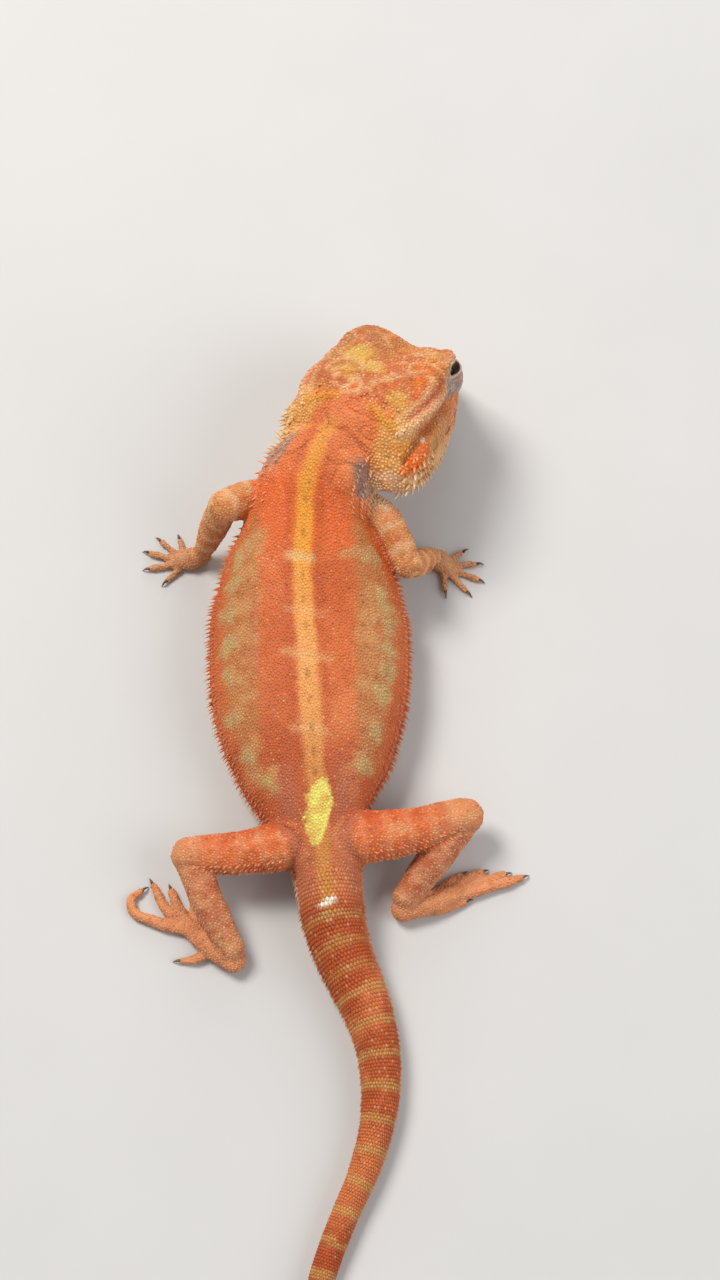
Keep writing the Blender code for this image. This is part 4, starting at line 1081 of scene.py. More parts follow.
def head_paint(points, told):
    """Markings of the head."""
    own = told["own"]
    folded = folded_places(own)
    x, y, z = folded.T
    rough, fine, broad = noise(points, 1.5, 31), noise(points, 0.7, 32, 2), noise(points, 3.6, 33, 2)
    colour = np.tile(HEAD_ORANGE, (len(points), 1))
    colour = mix(colour, HEAD_YELLOW, 0.75 * ease(-0.1, 0.7, broad + 0.4 * rough))
    colour = mix(colour, HEAD_RED, 0.65 * ease(0.1, 0.8, 0.5 * rough - broad))
    top = ease(-3.2, -1.4, z)
    for right, forward, wide, long, tone, amount in CROWN_MARKS:
        spot = np.hypot((own[:, 0] - right) / wide, (y - forward) / long) + 0.4 * rough + 0.25 * fine
        colour = mix(colour, tone, amount * ease(1.4, 0.3, spot) * top)
    lines = np.abs(noise(points, 2.1, 34, 2))
    colour = mix(colour, HEAD_CREAM, 0.7 * hump(lines, 0.13) * (0.4 + 0.6 * top))
    lines = np.abs(noise(points, 1.7, 35, 2))
    colour = mix(colour, HEAD_RED, 0.7 * hump(lines, 0.11))
    behind = ease(-1.2, -2.6, y)
    colour = mix(colour, NAPE_ORANGE, 0.6 * behind * hump(x - 1.0, 2.4))
    colour = mix(colour, HEAD_TAN, 0.8 * ease(-1.0, -2.2, y) * ease(2.4, 3.6, x) * ease(-7.2, -6.2, z))
    # Painted light: the cheeks, which sit in shade, are lightened towards yellow.
    cheek = ease(-2.8, -3.8, z) * ease(-6.4, -5.6, z) * ease(4.8, 5.8, x)
    colour = mix(colour, HEAD_YELLOW, 0.4 * cheek)
    for path, width, tone, amount in HEAD_LINES:
        colour = mix(colour, tone, amount * hump(path_distance(folded, path) + 0.05 * fine, width))
    right, left = ease(-1.0, 1.0, own[:, 0]), ease(1.0, -1.0, own[:, 0])
    colour = mix(colour, WEDGE_RED, right * ease(0.95, 0.5, path_distance(own, WEDGE) + 0.1 * fine))
    colour = mix(colour, BEARD_YELLOW, 0.85 * left * hump(path_distance(own, LEFT_TUFT), 1.3))
    for place, size, tone, amount in HEAD_SPOTS:
        spot = np.linalg.norm(folded - place, axis=1) / size + 0.12 * rough
        colour = mix(colour, tone, amount * ease(1.2, 0.6, spot))
    colour = colour * (1.0 - top[:, None] * (1.0 - np.array(CROWN_TONE)))
    snout = ease(9.5, 12.0, y)
    colour = mix(colour, HEAD_TAN, 0.45 * snout)
    beard = ease(-5.9, -7.2, z) * ease(9.5, 5.5, y)
    colour = mix(colour, BEARD, 0.75 * beard)
    colour = mix(colour, BELLY, 0.75 * ease(-7.6, -8.4, z))
    colour = mix(colour, MOUTH_DARK, 0.85 * hump(lip_distance(folded), 0.13))
    nostril = np.linalg.norm(folded - NOSTRIL_CENTRE, axis=1)
    colour = mix(colour, MOUTH_DARK, 0.85 * ease(0.55, 0.35, nostril))
    for side in (-1, 1):
        along, up, out, far = eye_place(told, side)
        ring = np.hypot(along, up)
        lid = lid_share(up, out, far)
        grey = mix(np.tile(LID_GREY, (len(points), 1)), LID_DARK, 0.45 * ease(-0.1, 0.7, fine))
        colour = mix(colour, grey, 0.88 * lid)
        colour = mix(colour, LID_RIM, 0.7 * lid * hump(ring - 1.25, 0.16))
        # Painted shade: the skin round the rim of the lid opening is painted dark.
        inside = ease(1.12, 1.0, ring) * ease(0.3, 0.8, out) * ease(2.6, 2.2, far)
        colour = mix(colour, LID_DARK * 0.4, 0.8 * inside)
    return colour


def limb_paint(points, told):
    """Markings of the legs."""
    rough, fine = noise(points, 1.5, 41), noise(points, 0.6, 42, 2)
    arm, lower, foot = told["arm"], told["lower"], told["foot"]
    colour = ramp(lower, [(0.0, LIMB_ORANGE), (1.0, SHIN)])
    colour = mix(colour, ARM_ORANGE, arm)
    colour = mix(colour, RUST, 0.5 * ease(0.0, 0.9, rough))
    colour = mix(colour, LIMB_TAN, 0.6 * ease(-0.1, 0.7, 0.6 * fine - rough))
    colour = mix(colour, DEEP_EDGE, 0.6 * ease(0.35, 0.95, told["leg_front"]) * (1.0 - lower) * (1.0 - arm))
    veins = hump(np.abs(noise(points, 1.1, 43, 2)), 0.14)
    colour = mix(colour, RUST, 0.4 * veins * (1.0 - foot))
    knee = ease(8.5, 11.5, told["leg_at"]) * (1.0 - lower) * (1.0 - arm)
    colour = mix(colour, LIMB_TAN, 0.55 * knee)
    bars = np.abs((told["leg_at"] / 2.2 + 0.16 * rough) % 1.0 - 0.5) * 2.0
    colour = mix(colour, LIMB_PALE, (0.14 + 0.34 * arm) * ease(0.5, 0.95, bars))
    sole = ramp(arm, [(0.0, FOOT_BEIGE), (1.0, HAND_TAN)])
    colour = mix(colour, sole, 0.85 * foot)
    return mix(colour, TOE_TAN, 0.35 * foot * ease(0.0, 0.8, fine))


def paint(points, told):
    """The animal's colour at points, as linear values."""
    colour = mix(body_paint(points, told), head_paint(points, told), told["head"])
    return np.clip(mix(colour, limb_paint(points, told), told["limb"]), 0.0, 1.0)


def set_colour(mesh, colours):
    """Stores a colour for each point of a mesh."""
    layer = mesh.attributes.new("paint", "FLOAT_COLOR", "POINT")
    flat = np.ones((len(mesh.vertices), 4), np.float32)
    flat[:, :3] = colours
    layer.data.foreach_set("color", flat.ravel())


def set_ridge(mesh, values):
    """Stores how far up its scale each point of a mesh lies."""
    layer = mesh.attributes.new("ridge", "FLOAT", "POINT")
    layer.data.foreach_set("value", np.asarray(values, np.float32))


# Places for scales

RINGS_FROM = -23.5
NO_SCALES = 9.0
ON_HEAD = 0.4
BAKE_PATCH = 0.003
TRUNK_SPACING = 0.27
BELLY_SPACING = 0.36
LIMB_SPACING = 0.25
FOOT_SPACING = 0.22
HEAD_SPACING = 0.28
CROWN_SPACING = 0.31
LIP_SPACING = 0.34
LID_SPACING = 0.19
RING_GAP = 0.16
PLATE_HEIGHT = 0.085
GRANULE_HEIGHT = 0.075
LID_SCALE_HEIGHT = 0.05
BOLD_SHARE = 0.02


def surface_normals(surface, at, turn):
    """Outward normals of a surface."""
    along = surface.points(at + 0.1, turn) - surface.points(at - 0.1, turn)
    around = surface.points(at, turn + 0.006) - surface.points(at, turn - 0.006)
    normal = unit(np.cross(along, around))
    inside = surface.points(at, turn + 0.5)
    wrong = ((surface.points(at, turn) - inside) * normal).sum(1) < 0
    normal[wrong] *= -1.0
    return normal


def ring_pitch(at):
    """Distance between the tail's rings of scales."""
    return LOOSE * np.clip(0.20 + 0.062 * np.interp(at, BODY.keys, BODY.rows[:, 2]), 0.22, 0.37)


def tail_rows(tree):
    """Roots and normals of the tail's rings of scales, set onto the skin."""
    at, row, roots, normals = float(BODY.along(RINGS_FROM)), 0, [], []
    while at < BODY.length - 0.25:
        pitch = float(ring_pitch(at))
        ring = BODY.points(np.full(48, at), np.arange(48) / 48.0)
        count = max(int(round(np.linalg.norm(ring - np.roll(ring, 1, axis=0), axis=1).sum() / pitch)), 6)
        turn = (np.arange(count) + 0.5 * (row % 2)) / count + RNG.normal(0.0, 0.06, count) / count
        places = np.full(count, at) + RNG.normal(0.0, 0.02, count)
        points, out = BODY.points(places, turn), surface_normals(BODY, places, turn)
        for point, normal in zip(points, out):
            found, face_normal, _, _ = tree.find_nearest(Vector(point), 0.45)
            if found is not None:
                roots.append(found)
                normals.append(normal + 0.6 * np.array(face_normal))
        at += pitch * 1.02
        row += 1
    return np.array(roots), unit(np.array(normals))


def spread(points, spacing):
    """Which points keep their own distance from those chosen before them."""
    tree = KDTree(len(points))
    for k, point in enumerate(points):
        tree.insert(point, k)
    tree.balance()
    free = np.ones(len(points), bool)
    kept = []
    for k, point in enumerate(points):
        if free[k]:
            kept.append(k)
            for _, other, _ in tree.find_range(point, spacing[k]):
                free[other] = False
    return np.array(kept)


def scale_spacing(told):
    """How far apart the scales sit."""
    head, folded = told["head"], folded_places(told["own"])
    x, y, z = folded.T
    spacing = np.full(len(x), TRUNK_SPACING)
    under = (told["turn"] < -0.04) & (told["turn"] > -0.46)
    spacing = np.where(under & (told["limb"] < 0.5), BELLY_SPACING, spacing)
    spacing = np.where(told["y"] < RINGS_FROM - 0.2, NO_SCALES, spacing)
    spacing = np.where(told["limb"] > 0.5, LIMB_SPACING, spacing)
    spacing = np.where(told["foot"] > 0.5, FOOT_SPACING, spacing)
    on_head = np.full(len(x), HEAD_SPACING)
    on_head = np.where((z > -3.2) & (y > -1.0), CROWN_SPACING, on_head)
    on_head = np.where(np.abs(z + 6.3) < 0.7, LIP_SPACING, on_head)
    ear = np.linalg.norm(folded - EAR_CENTRE, axis=1)
    nostril = np.linalg.norm(folded - NOSTRIL_CENTRE, axis=1)
    on_head = np.where((ear < 0.95) | (nostril < 0.5) | (lip_distance(folded) < 0.2), NO_SCALES, on_head)
    for side in (-1, 1):
        along, up, out, far = eye_place(told, side)
        on_head = np.where((far < 2.6) & (out > 0.2), LID_SPACING, on_head)
        opening = (np.hypot(along, up) < 1.12) & (out > 0.5) & (far < 2.6)
        on_head = np.where(opening, NO_SCALES, on_head)
    spacing = np.where(head > ON_HEAD, on_head, spacing)
    return np.where(spacing < NO_SCALES, spacing * LOOSE, NO_SCALES)


def scale_places(skin):
    """Roots and normals of all scales, and which of them belong to the tail's rings."""
    points, normals, faces = mesh_points(skin.data), mesh_normals(skin.data), mesh_triangles(skin.data)
    tree = BVHTree.FromPolygons(points.tolist(), faces.tolist())
    ring_roots, ring_normals = tail_rows(tree)
    a, b, c = (points[faces[:, k]] for k in range(3))
    area = np.linalg.norm(np.cross(b - a, c - a), axis=1)
    chosen = RNG.choice(len(faces), CANDIDATES, p=area / area.sum())
    u, v = RNG.random(CANDIDATES), RNG.random(CANDIDATES)
    flip = u + v > 1.0
    u, v = np.where(flip, 1.0 - u, u), np.where(flip, 1.0 - v, v)
    parts = np.column_stack([1.0 - u - v, u, v])
    roots = sum(points[faces[chosen, k]] * parts[:, k:k + 1] for k in range(3))
    ways = unit(sum(normals[faces[chosen, k]] * parts[:, k:k + 1] for k in range(3)))
    spacing = scale_spacing(describe(points))[faces[chosen, 0]]
    use = spacing < NO_SCALES
    roots, ways, spacing = roots[use], ways[use], spacing[use]
    every = np.concatenate([ring_roots, roots])
    gaps = np.concatenate([np.full(len(ring_roots), RING_GAP), spacing])
    kept = spread(every, gaps)
    return every[kept], np.concatenate([ring_normals, ways])[kept], kept < len(ring_roots), gaps[kept]


# Scales

def granule():
    """A low keeled plate: x across, y towards its free tip, z up."""
    ring = [(math.cos(a) * 0.5, math.sin(a) * 0.5) for a in np.linspace(0, 2 * math.pi, 9)[:-1]]
    points = [(x, y + 0.12 * max(y, 0.0), -0.55) for x, y in ring]
    points += [(-0.27, -0.02, 0.62), (0.0, -0.28, 0.55), (0.27, -0.02, 0.62), (0.0, 0.30, 1.0)]
    left, front, right, tip = 8, 9, 10, 11
    faces = [
        (0, 1, right), (1, tip, right), (1, 2, tip), (2, 3, tip), (3, left, tip), (3, 4, left),
        (4, 5, left), (5, front, left), (5, 6, front), (6, 7, front), (7, right, front), (7, 0, right),
        (left, front, tip), (front, right, tip),
        (0, 2, 1), (0, 3, 2), (0, 4, 3), (0, 5, 4), (0, 6, 5), (0, 7, 6),
    ]
    return np.array(points), np.array(faces)


def plate():
    """A flat-topped plate with a round edge."""
    turns = [2 * math.pi * k / 8 for k in range(8)]
    points = [(0.5 * math.cos(a), 0.5 * math.sin(a), -0.6) for a in turns]
    points += [(0.39 * math.cos(a), 0.39 * math.sin(a), 0.7) for a in turns] + [(0.0, 0.05, 1.0)]
    faces = []
    for k in range(8):
        n = (k + 1) % 8
        faces += [(k, n, n + 8), (k, n + 8, k + 8), (k + 8, n + 8, 16)]
    faces += [(0, k + 1, k) for k in range(1, 7)]
    return np.array(points), np.array(faces)


def stamp(shapes, faces, roots, axes):
    """Points and faces of many shapes, each set on its root with its own axes and kept above the floor."""
    placed = np.einsum("nij,nkj->nki", axes, shapes) + roots[:, None, :]
    placed[:, :, 2] = np.maximum(placed[:, :, 2], 0.0)
    all_faces = faces[None] + (np.arange(len(roots)) * len(shapes[0]))[:, None, None]
    return placed.reshape(-1, 3), all_faces.reshape(-1, 3)


def axes_for(normals, flow, lift):
    """Axes of a scale: across, towards the tip, up."""
    tip = unit(flow - normals * (flow * normals).sum(1)[:, None])
    tip = unit(tip + normals * lift[:, None])
    across = unit(np.cross(tip, normals))
    return np.stack([across, tip, np.cross(across, tip)], axis=2)


def bake_map(obj, told, flat):
    """The OFBake map: each copy is a small patch at its root's place on an unwrap of the skin."""
    own = told["own"]
    body = np.column_stack([0.02 + 0.56 * (told["turn"] % 1.0), 0.02 + 0.96 * told["at"] / BODY.length])
    head_u = 0.64 + 0.32 * ((np.arctan2(own[:, 0], own[:, 2] + 4.6) / (2 * np.pi)) % 1.0)
    head = np.column_stack([head_u, 0.55 + 0.42 * np.clip((own[:, 1] + 4.8) / 20.4, 0.0, 1.0)])
    leg = told["leg"]
    leg_u = 0.64 + 0.32 * ((leg % 6) + 0.05 + 0.9 * (told["leg_turn"] % 1.0)) / 6.0
    leg_v = 0.02 + 0.5 * (np.floor(leg / 6) + 0.05 + 0.9 * np.clip(told["leg_at"] / 13.0, 0.0, 1.0)) / 6.0
    places = np.where(told["head"][:, None] > 0.5, head, body)
    places = np.where(told["limb"][:, None] > 0.5, np.column_stack([leg_u, leg_v]), places)
    places = (places[:, None, :] + flat[None, :, :2] * BAKE_PATCH).reshape(-1, 2)
    layer = obj.data.uv_layers.new(name="OFBake")
    index = stored(obj.data.loops, "vertex_index", 1, np.int32)[:, 0]
    layer.data.foreach_set("uv", places[index].astype(np.float32).ravel())


def picked(told, which):
    """The part of a description that an index picks."""
    return {key: value[which] for key, value in told.items()}


def scale_colours(roots, told):
    """Each scale's own colour: the markings with a little variety, speckles and dots."""
    count = len(roots)
    colours = paint(roots, told) * np.clip(1.0 + RNG.normal(0.0, 0.045, count), 0.85, 1.15)[:, None]
    speck = noise(roots, 0.75, 36, 2) + RNG.normal(0.0, 0.25, count)
    colours = mix(colours, HEAD_RED, 0.5 * told["head"] * ease(0.25, 0.8, speck))
    colours = mix(colours, HEAD_CREAM, 0.35 * told["head"] * ease(-0.25, -0.8, speck))
    lot = RNG.random(count)
    pale = np.where(told["limb"] > 0.5, 0.22, np.where(told["head"] > 0.5, 0.10, 0.05))
    colours = mix(colours, LIMB_PALE, np.where(told["limb"] > 0.5, 0.28, 0.22) * (lot < pale))
    dark = np.where(told["foot"] > 0.5, 0.06, np.where(told["limb"] > 0.5, 0.03, 0.007))
    return mix(colours, DARK_DOT, 0.42 * (lot > 1.0 - dark))


def make_scales(skin):
    """The coat of scales: plates on the head, granules elsewhere, keeled rings on the tail."""
    roots, normals, ringed, gaps = scale_places(skin)
    told = describe(roots)
    count = len(roots)
    head = told["head"] > ON_HEAD
    size = gaps * np.where(head, 1.10, 1.18) * RNG.uniform(0.92, 1.1, count)
    height = np.where(head, PLATE_HEIGHT, GRANULE_HEIGHT) * RNG.uniform(0.8, 1.2, count)
    height = np.where(gaps < FOOT_SPACING * LOOSE, LID_SCALE_HEIGHT, height)
    size = np.where(ringed, 1.16 * ring_pitch(told["at"]), size)
    height = np.where(ringed, PLATE_HEIGHT, height)
    bold = (RNG.random(count) < BOLD_SHARE) & ~head & ~ringed & (told["limb"] < 0.5) & (told["turn"] > 0.03)
    size = np.where(bold, size * 1.3, size)
    height = np.where(bold, height * 1.5, height)
    long = np.where(ringed, 1.28, 1.06)
    sizes = np.column_stack([size, size * long, height])
    flow = told["flow"] + RNG.normal(0.0, 0.12, (count, 3)) * np.where(ringed, 0.3, 1.0)[:, None]
    axes = axes_for(normals, flow, np.where(ringed, 0.11, np.where(head, 0.0, 0.07)))
    colours = scale_colours(roots, told)
    pieces = []
    for name, template, group in (("head_plates", plate(), head), ("scales", granule(), ~head)):
        order = np.flatnonzero(group)
        order = order[np.argsort(told["limb"][order].round() * 1000 + told["at"][order], kind="stable")]
        most = PIECE_TRIANGLES // len(template[1])
        for number, start in enumerate(range(0, len(order), most)):
            part = order[start:start + most]
            shapes = template[0][None] * sizes[part][:, None, :]
            copies = stamp(shapes, template[1], roots[part], axes[part])
            obj = new_piece("%s_%d" % (name, number + 1), *copies)
            set_colour(obj.data, np.repeat(colours[part], len(template[0]), axis=0))
            set_ridge(obj.data, np.tile(template[0][:, 2], len(part)))
            bake_map(obj, picked(told, part), template[0])
            pieces.append(obj)
    print("scales", count, "on the head", int(head.sum()), "pieces", len(pieces))
    return pieces


# Spines

def spine_template(sides=6):
    """A slightly bent spine: z outward; the fourth value is the bend towards y."""
    levels = [(-0.35, 1.0, 0.0), (0.0, 1.0, 0.0), (0.3, 0.78, 0.03), (0.62, 0.45, 0.12), (0.88, 0.16, 0.26)]
    turns = [2 * math.pi * k / sides for k in range(sides)]
    points = [(r * math.cos(a), r * math.sin(a), height, bend) for height, r, bend in levels for a in turns]
    points.append((0.0, 0.0, 1.0, 0.34))
    faces = []
    for level in range(len(levels) - 1):
        for k in range(sides):
            a, b = level * sides + k, level * sides + (k + 1) % sides
            faces += [(a, b, b + sides), (a, b + sides, a + sides)]
    top = (len(levels) - 1) * sides
    faces += [(top + k, top + (k + 1) % sides, len(points) - 1) for k in range(sides)]
    faces += [(0, k + 1, k) for k in range(1, sides - 1)]
    return np.array(points), np.array(faces)


def flank_turn(way, lift):
    """The turn of a place above the right flank for way 1, and the left one for way -1."""
    return lift if way > 0 else 0.5 - lift


def spine_rows():
    """Every spine as surface, place, turn, length, radius, lean towards the rear and pale share."""
    found = []

    def row(surface, start, end, pitch, turn, length, radius, lean, pale, drift=0.0):
        count = max(int(abs(end - start) / pitch), 1)
        for k in range(count):
            t = (k + RNG.uniform(0.15, 0.85)) / count
            place = turn + drift * t + RNG.uniform(-0.004, 0.004)
            low, high = length if isinstance(length, tuple) else (length, length)
            size = (low + (high - low) * t) * RNG.uniform(0.78, 1.15)
            thick = radius * RNG.uniform(0.9, 1.1)
            found.append((surface, start + (end - start) * t, place, size, thick, lean, pale))

    front, back = float(BODY.along(11.2)), float(BODY.along(-19.5))
    tail_start, tail_end = float(BODY.along(-21.0)), float(BODY.along(-52.0))
    neck_start, neck_end = float(BODY.along(19.5)), float(BODY.along(12.0))
    for way in (1.0, -1.0):
        for lift, length, pitch in FRINGE_ROWS:
            row(BODY, front, back, pitch, flank_turn(way, lift), length, 0.125, 0.35, 0.3)
        for lift, length in ((0.0, 0.62), (0.03, 0.45), (-0.03, 0.4)):
            lengths = (length, 0.3 * length)
            row(BODY, tail_start, tail_end, 0.42, flank_turn(way, lift), lengths, 0.13, 0.8, 0.3)
        for lift, length in NECK_ROWS:
            row(BODY, neck_start, neck_end, 0.62, flank_turn(way, lift), length, 0.17, 0.6, 0.45)
        for turn, start, end, low, high in HEAD_SPINE_ROWS:
            row(HEAD, start, end, 0.5, way * turn, (low, high), 0.19, -0.55, 0.55)
        rear = 0.0 if way > 0 else 0.5
        thigh = LEG_LIMBS["thigh_right" if way > 0 else "thigh_left"]
        for lift in (-0.05, 0.0, 0.05, 0.1):
            row(thigh, 3.0, thigh.length - 0.5, 0.5, rear + way * lift, 0.34, 0.13, 0.8, 0.45)
    row(BODY, float(BODY.along(18.6)), float(BODY.along(15.2)), 0.3, 0.495, 1.25, 0.2, 0.1, 0.55)
    row(BODY, float(BODY.along(18.4)), float(BODY.along(15.4)), 0.36, 0.47, 0.95, 0.18, 0.2, 0.55)
    return found


def make_spines(skin):
    """Spines of the flanks, tail, neck, thighs and head."""
    tree = BVHTree.FromPolygons(mesh_points(skin.data).tolist(), mesh_triangles(skin.data).tolist())
    kept = []
    for surface, at, turn, length, radius, lean, pale in spine_rows():
        at, turn = np.array([at]), np.array([turn])
        point = surface.points(at, turn)
        found = tree.find_nearest(Vector(point[0]), 0.55)[0]
        own = HEAD.to_head(point) / HEAD_SCALE
        if found is None or np.linalg.norm(folded_places(own)[0] - EAR_CENTRE) < 1.15:
            continue
        rear = unit(surface.points(at + 0.1, turn)[0] - surface.points(at - 0.1, turn)[0])
        way = unit(surface_normals(surface, at, turn)[0] + rear * lean)
        if found[2] + way[2] * length > 0.15:
            kept.append((*found, *way, *(rear * np.sign(lean)), radius, length, pale))
    kept = np.array(kept)
    roots, ways, flows, (radius, length, pale) = kept[:, :3], kept[:, 3:6], kept[:, 6:9], kept[:, 9:].T
    side = unit(np.cross(flows, ways))
    axes = np.stack([side, np.cross(ways, side), ways], axis=2)
    points, faces = spine_template()
    count = len(roots)
    shape = np.empty((count, len(points), 3))
    shape[:, :, 0] = points[:, 0] * radius[:, None]
    shape[:, :, 1] = points[:, 1] * radius[:, None] + points[:, 3] * length[:, None] * 0.35
    shape[:, :, 2] = points[:, 2] * length[:, None]
    obj = new_piece("spines", *stamp(shape, faces, roots, axes))
    told = describe(roots)
    colours = paint(roots, told) * np.clip(1.0 + RNG.normal(0.0, 0.06, count), 0.85, 1.2)[:, None]
    tipped = np.clip(points[:, 2], 0.0, 1.0)
    blend = (tipped ** 1.5)[None, :, None] * pale[:, None, None]
    set_colour(obj.data, (colours[:, None, :] * (1.0 - blend) + SPINE_TIP * blend).reshape(-1, 3))
    # Heights up each spine, which the coat's material turns into painted shade at the root
    set_ridge(obj.data, np.tile(0.4 + 0.6 * tipped, count))
    bake_map(obj, told, 0.5 * points)
    print("spines", count)
    return obj


# Claws and eyes

def make_claws():
    """Twenty small curved claws."""
    parts = []
    for toes, (_, last) in TOES.values():
        for places in toes:
            a, b = np.array(places[-2]), np.array(places[-1])
            way = unit(b - a)
            base = (b[0] + way[0] * 0.45 * last, b[1] + way[1] * 0.45 * last, last - 0.05)
            joints = []
            for t in np.linspace(0.0, 1.0, 7):
                arch = CLAW_ARCH * math.sin(math.pi * min(t * 1.25, 1.0))
                height = base[2] + arch - (base[2] - CLAW_TIP_HEIGHT) * t ** 2.2
                radius = CLAW_RADIUS * (1.0 - t) ** 0.75 + CLAW_TIP_RADIUS
                place = (base[0] + way[0] * CLAW_LENGTH * t, base[1] + way[1] * CLAW_LENGTH * t)
                joints.append((*place, max(height, radius + 0.005), radius))
            claw = Limb(joints)
            points, faces = tube(claw, np.linspace(0.0, claw.length, 14), 10, 0.0)
            parts.append((points, outward(points, faces)))
    points, faces = merged(parts)
    points[:, 2] = np.maximum(points[:, 2], 0.0)
    return new_piece("claws", points, faces)


def make_eye(name, side):
    """An eyeball with a slight bulge over the iris."""
    radius = EYE_RADIUS * HEAD_SCALE * 0.985
    centre = HEAD.to_world(side_point(EYE_CENTRE, side))
    sides, rings = 64, 49
    lat, lon = ball_angles(sides, rings, 0.004)
    bulge = 1.0 + 0.05 * ease(0.75, 0.35, lat)
    ball = np.column_stack([np.cos(lat) * bulge, np.sin(lat) * np.cos(lon), np.sin(lat) * np.sin(lon)])
    points = (ball * radius) @ eye_axes(side).T + centre
    obj = new_piece(name, points, outward(points, grid_faces(rings, sides)))
    angle = np.degrees(lat)
    spokes = 0.5 + 0.5 * np.sin(lon * 23.0 + 2.0 * np.sin(lon * 5.0))
    colour = np.tile(PUPIL, (len(points), 1))
    iris = ease(15.0, 17.5, angle) * ease(37.0, 33.0, angle)
    colour = colour + (IRIS * (0.7 + 0.5 * spokes)[:, None] - colour) * iris[:, None]
    set_colour(obj.data, mix(colour, EYE_DARK, ease(33.0, 37.0, angle)))
    return obj


# Materials

class Nodes:
    """Short calls for a material's nodes."""

    def __init__(self, name):
        self.material = bpy.data.materials.new(name)
        self.material.use_nodes = True
        self.tree = self.material.node_tree
        self.shader = self.tree.nodes["Principled BSDF"]
        self.place = self.add("ShaderNodeTexCoord").outputs["Object"]

    def add(self, kind, **values):
        """Adds a node and sets its inputs, or else its own settings, by name."""
        node = self.tree.nodes.new(kind)
        for key, value in values.items():
            if key in node.inputs:
                node.inputs[key].default_value = value
            else:
                setattr(node, key, value)
        return node

    def link(self, source, target):
        """Joins an output to an input."""
        self.tree.links.new(source, target)

    def texture(self, kind, output, **values):
        """A texture laid in the object's own space."""
        node = self.add(kind, **values)
        self.link(self.place, node.inputs["Vector"])
        return node.outputs[output]

    def spread(self, source, low, high, start=0.3, end=0.7):
        """A value stretched from a start and end to a low and high."""
        node = self.add("ShaderNodeMapRange")
        for key, value in (("From Min", start), ("From Max", end), ("To Min", low), ("To Max", high)):
            node.inputs[key].default_value = value
        self.link(source, node.inputs["Value"])
        return node.outputs["Result"]

    def ramp(self, source, first, last, start=0.0, end=1.0):
        """A colour that runs from a first to a last along a value."""
        node = self.add("ShaderNodeValToRGB")
        for element, place, colour in zip(node.color_ramp.elements, (start, end), (first, last)):
            element.position = place
            element.color = (*colour, 1.0)
        self.link(source, node.inputs["Fac"])
        return node.outputs["Color"]

    def scaled(self, colour, factor):
        """A colour made lighter or darker."""
        node = self.add("ShaderNodeVectorMath", operation="SCALE")
        self.link(colour, node.inputs[0])
        self.link(factor, node.inputs["Scale"])
        return node.outputs["Vector"]

    def finish(self, colour, rough, height, strength, distance):
        """Joins colour, roughness and bump to the shader."""
        self.link(colour, self.shader.inputs["Base Color"])
        self.link(rough, self.shader.inputs["Roughness"])
        bump = self.add("ShaderNodeBump", Strength=strength, Distance=distance)
        self.link(height, bump.inputs["Height"])
        self.link(bump.outputs["Normal"], self.shader.inputs["Normal"])
        return self.material


def scaly_material(name, roughness, bump, grain, ridge=False):
    """Dry scaly skin coloured from the stored paint, with fine grain."""
    made = Nodes(name)
    mottle = made.texture("ShaderNodeTexNoise", "Fac", Scale=1500.0, Detail=4.0, Roughness=0.6)
    colour = made.add("ShaderNodeAttribute", attribute_name="paint").outputs["Color"]
    colour = made.scaled(colour, made.spread(mottle, 0.90, 1.09))
    if ridge:
        # Painted shade: each scale and spine is darker towards its base, and a little lighter at its top.
        height = made.add("ShaderNodeAttribute", attribute_name="ridge").outputs["Fac"]
        colour = made.scaled(colour, made.spread(height, 0.86, 1.03, 0.0, 0.9))
    made.shader.inputs["Specular IOR Level"].default_value = 0.3
    cells = made.texture("ShaderNodeTexVoronoi", "Distance", Scale=grain)
    return made.finish(colour, made.spread(mottle, roughness - 0.08, roughness + 0.1), cells, bump, 0.00003)


def claw_material():
    """Brown horn with fine streaks."""
    made = Nodes("claw horn")
    streak = made.texture("ShaderNodeTexNoise", "Fac", Scale=3000.0, Detail=3.0)
    tone = made.ramp(streak, (0.05, 0.022, 0.012), (0.22, 0.11, 0.06), 0.35, 0.7)
    return made.finish(tone, made.spread(streak, 0.25, 0.42), streak, 0.3, 0.00002)


def eye_material():
    """Wet eye coloured from the stored iris."""
    made = Nodes("wet eye")
    fleck = made.texture("ShaderNodeTexNoise", "Fac", Scale=5000.0, Detail=3.0)
    colour = made.add("ShaderNodeAttribute", attribute_name="paint").outputs["Color"]
    made.shader.inputs["Coat Weight"].default_value = 0.8
    made.shader.inputs["Coat Roughness"].default_value = 0.03
    colour = made.scaled(colour, made.spread(fleck, 0.8, 1.2))
    return made.finish(colour, made.spread(fleck, 0.06, 0.14), fleck, 0.05, 0.00001)


def floor_material():
    """A plain pale floor."""
    made = Nodes("pale floor")
    grain = made.texture("ShaderNodeTexNoise", "Fac", Scale=60.0, Detail=3.0)
    tone = made.ramp(grain, (0.53, 0.523, 0.51), (0.58, 0.573, 0.56))
    return made.finish(tone, made.spread(grain, 0.7, 0.8), grain, 0.05, 0.0002)


# Assembly

def ride(piece, material):
    """Gives a piece its material and lets it ride on the body."""
    piece.data.materials.clear()
    piece.data.materials.append(material)
    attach(piece, "root")


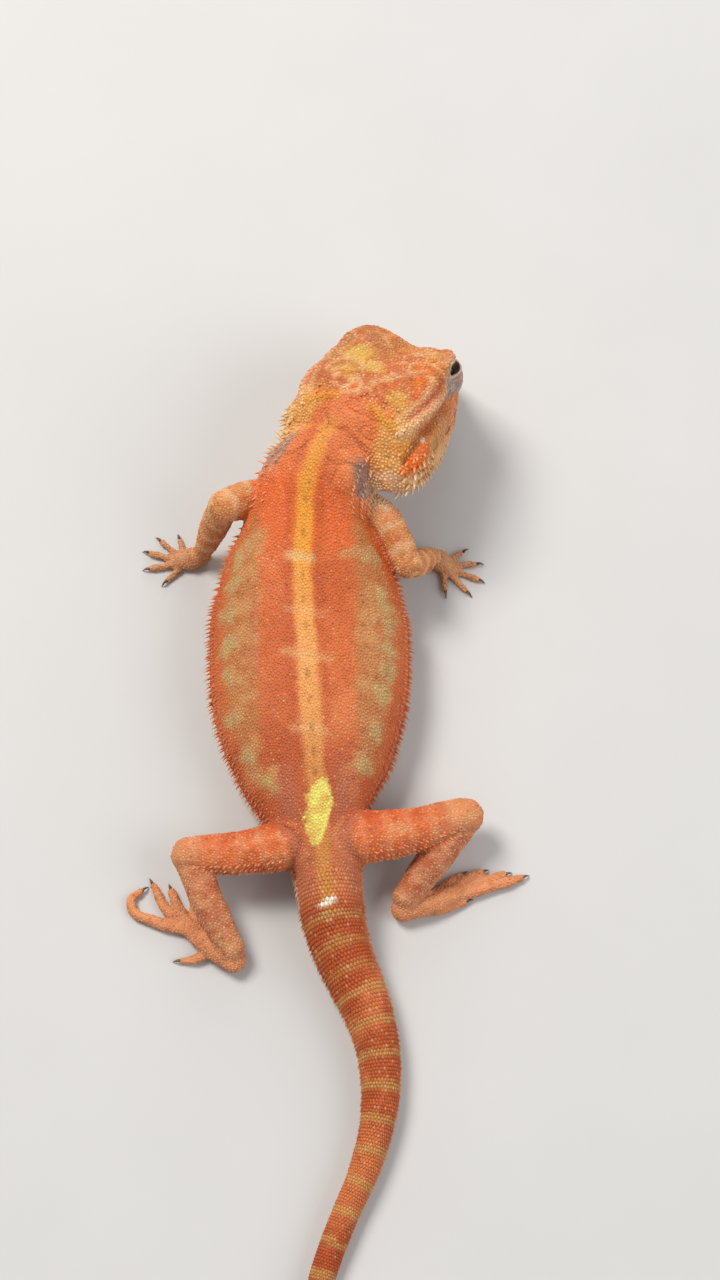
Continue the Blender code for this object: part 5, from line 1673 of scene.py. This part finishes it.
def build():
    """Makes every piece and dresses the frame with it."""
    skin = make_skin()
    points = mesh_points(skin.data)
    # The skin between the scales is painted at 0.86 of their colour: painted shade in the gaps between
    # scales.
    set_colour(skin.data, paint(points, describe(points)) * 0.86)
    ride(skin, scaly_material("skin between scales", 0.6, 0.5, 5200.0))
    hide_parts(*FLESH_NODES)
    coat = scaly_material("scales", 0.52, 0.25, 9000.0, ridge=True)
    for piece in make_scales(skin) + [make_spines(skin)]:
        ride(piece, coat)
    ride(make_claws(), claw_material())
    wet = eye_material()
    for side, name in ((-1, "left"), (1, "right")):
        eye = make_eye("eyeball_" + name, side)
        ride(eye, wet)
        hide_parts("eye_" + name)


def make_camera():
    """The camera at the photo's angle and framing."""
    data = bpy.data.cameras.new("camera")
    camera = linked("camera", data)
    elevation = math.radians(CAMERA_ELEVATION)
    back = Vector((0.0, -math.cos(elevation), math.sin(elevation)))
    camera.location = (Vector(CAMERA_TARGET) + back * CAMERA_DISTANCE) * MM
    camera.rotation_euler = (-back).to_track_quat("-Z", "Y").to_euler()
    data.sensor_width = SENSOR
    data.lens = SENSOR * PIXELS_PER_MM * CAMERA_DISTANCE / PHOTO_HEIGHT
    data.clip_start = 0.01
    data.clip_end = 10.0
    bpy.context.scene.camera = camera


def make_light(name, place, size, power, colour):
    """A soft square lamp that faces the animal."""
    data = bpy.data.lights.new(name, "AREA")
    data.shape = "SQUARE"
    data.size = size
    data.energy = power
    data.color = colour
    lamp = linked(name, data)
    lamp.location = place
    lamp.rotation_euler = (-Vector(place)).to_track_quat("-Z", "Y").to_euler()


def make_stage():
    """Floor, lamps and a soft surrounding light; colours show as painted, with no film curve."""
    bpy.ops.mesh.primitive_plane_add(size=3.0, location=(0.0, 0.0, -0.00002))
    floor = bpy.context.object
    floor.name = "floor"
    floor.data.materials.append(floor_material())
    for lamp in LAMPS:
        make_light(*lamp)
    world = bpy.data.worlds.new("studio")
    world.use_nodes = True
    world.node_tree.nodes["Background"].inputs["Color"].default_value = (0.95, 0.96, 1.0, 1.0)
    world.node_tree.nodes["Background"].inputs["Strength"].default_value = WORLD_LIGHT
    bpy.context.scene.world = world
    bpy.context.scene.view_settings.view_transform = "Standard"


make_camera()
make_stage()
build()
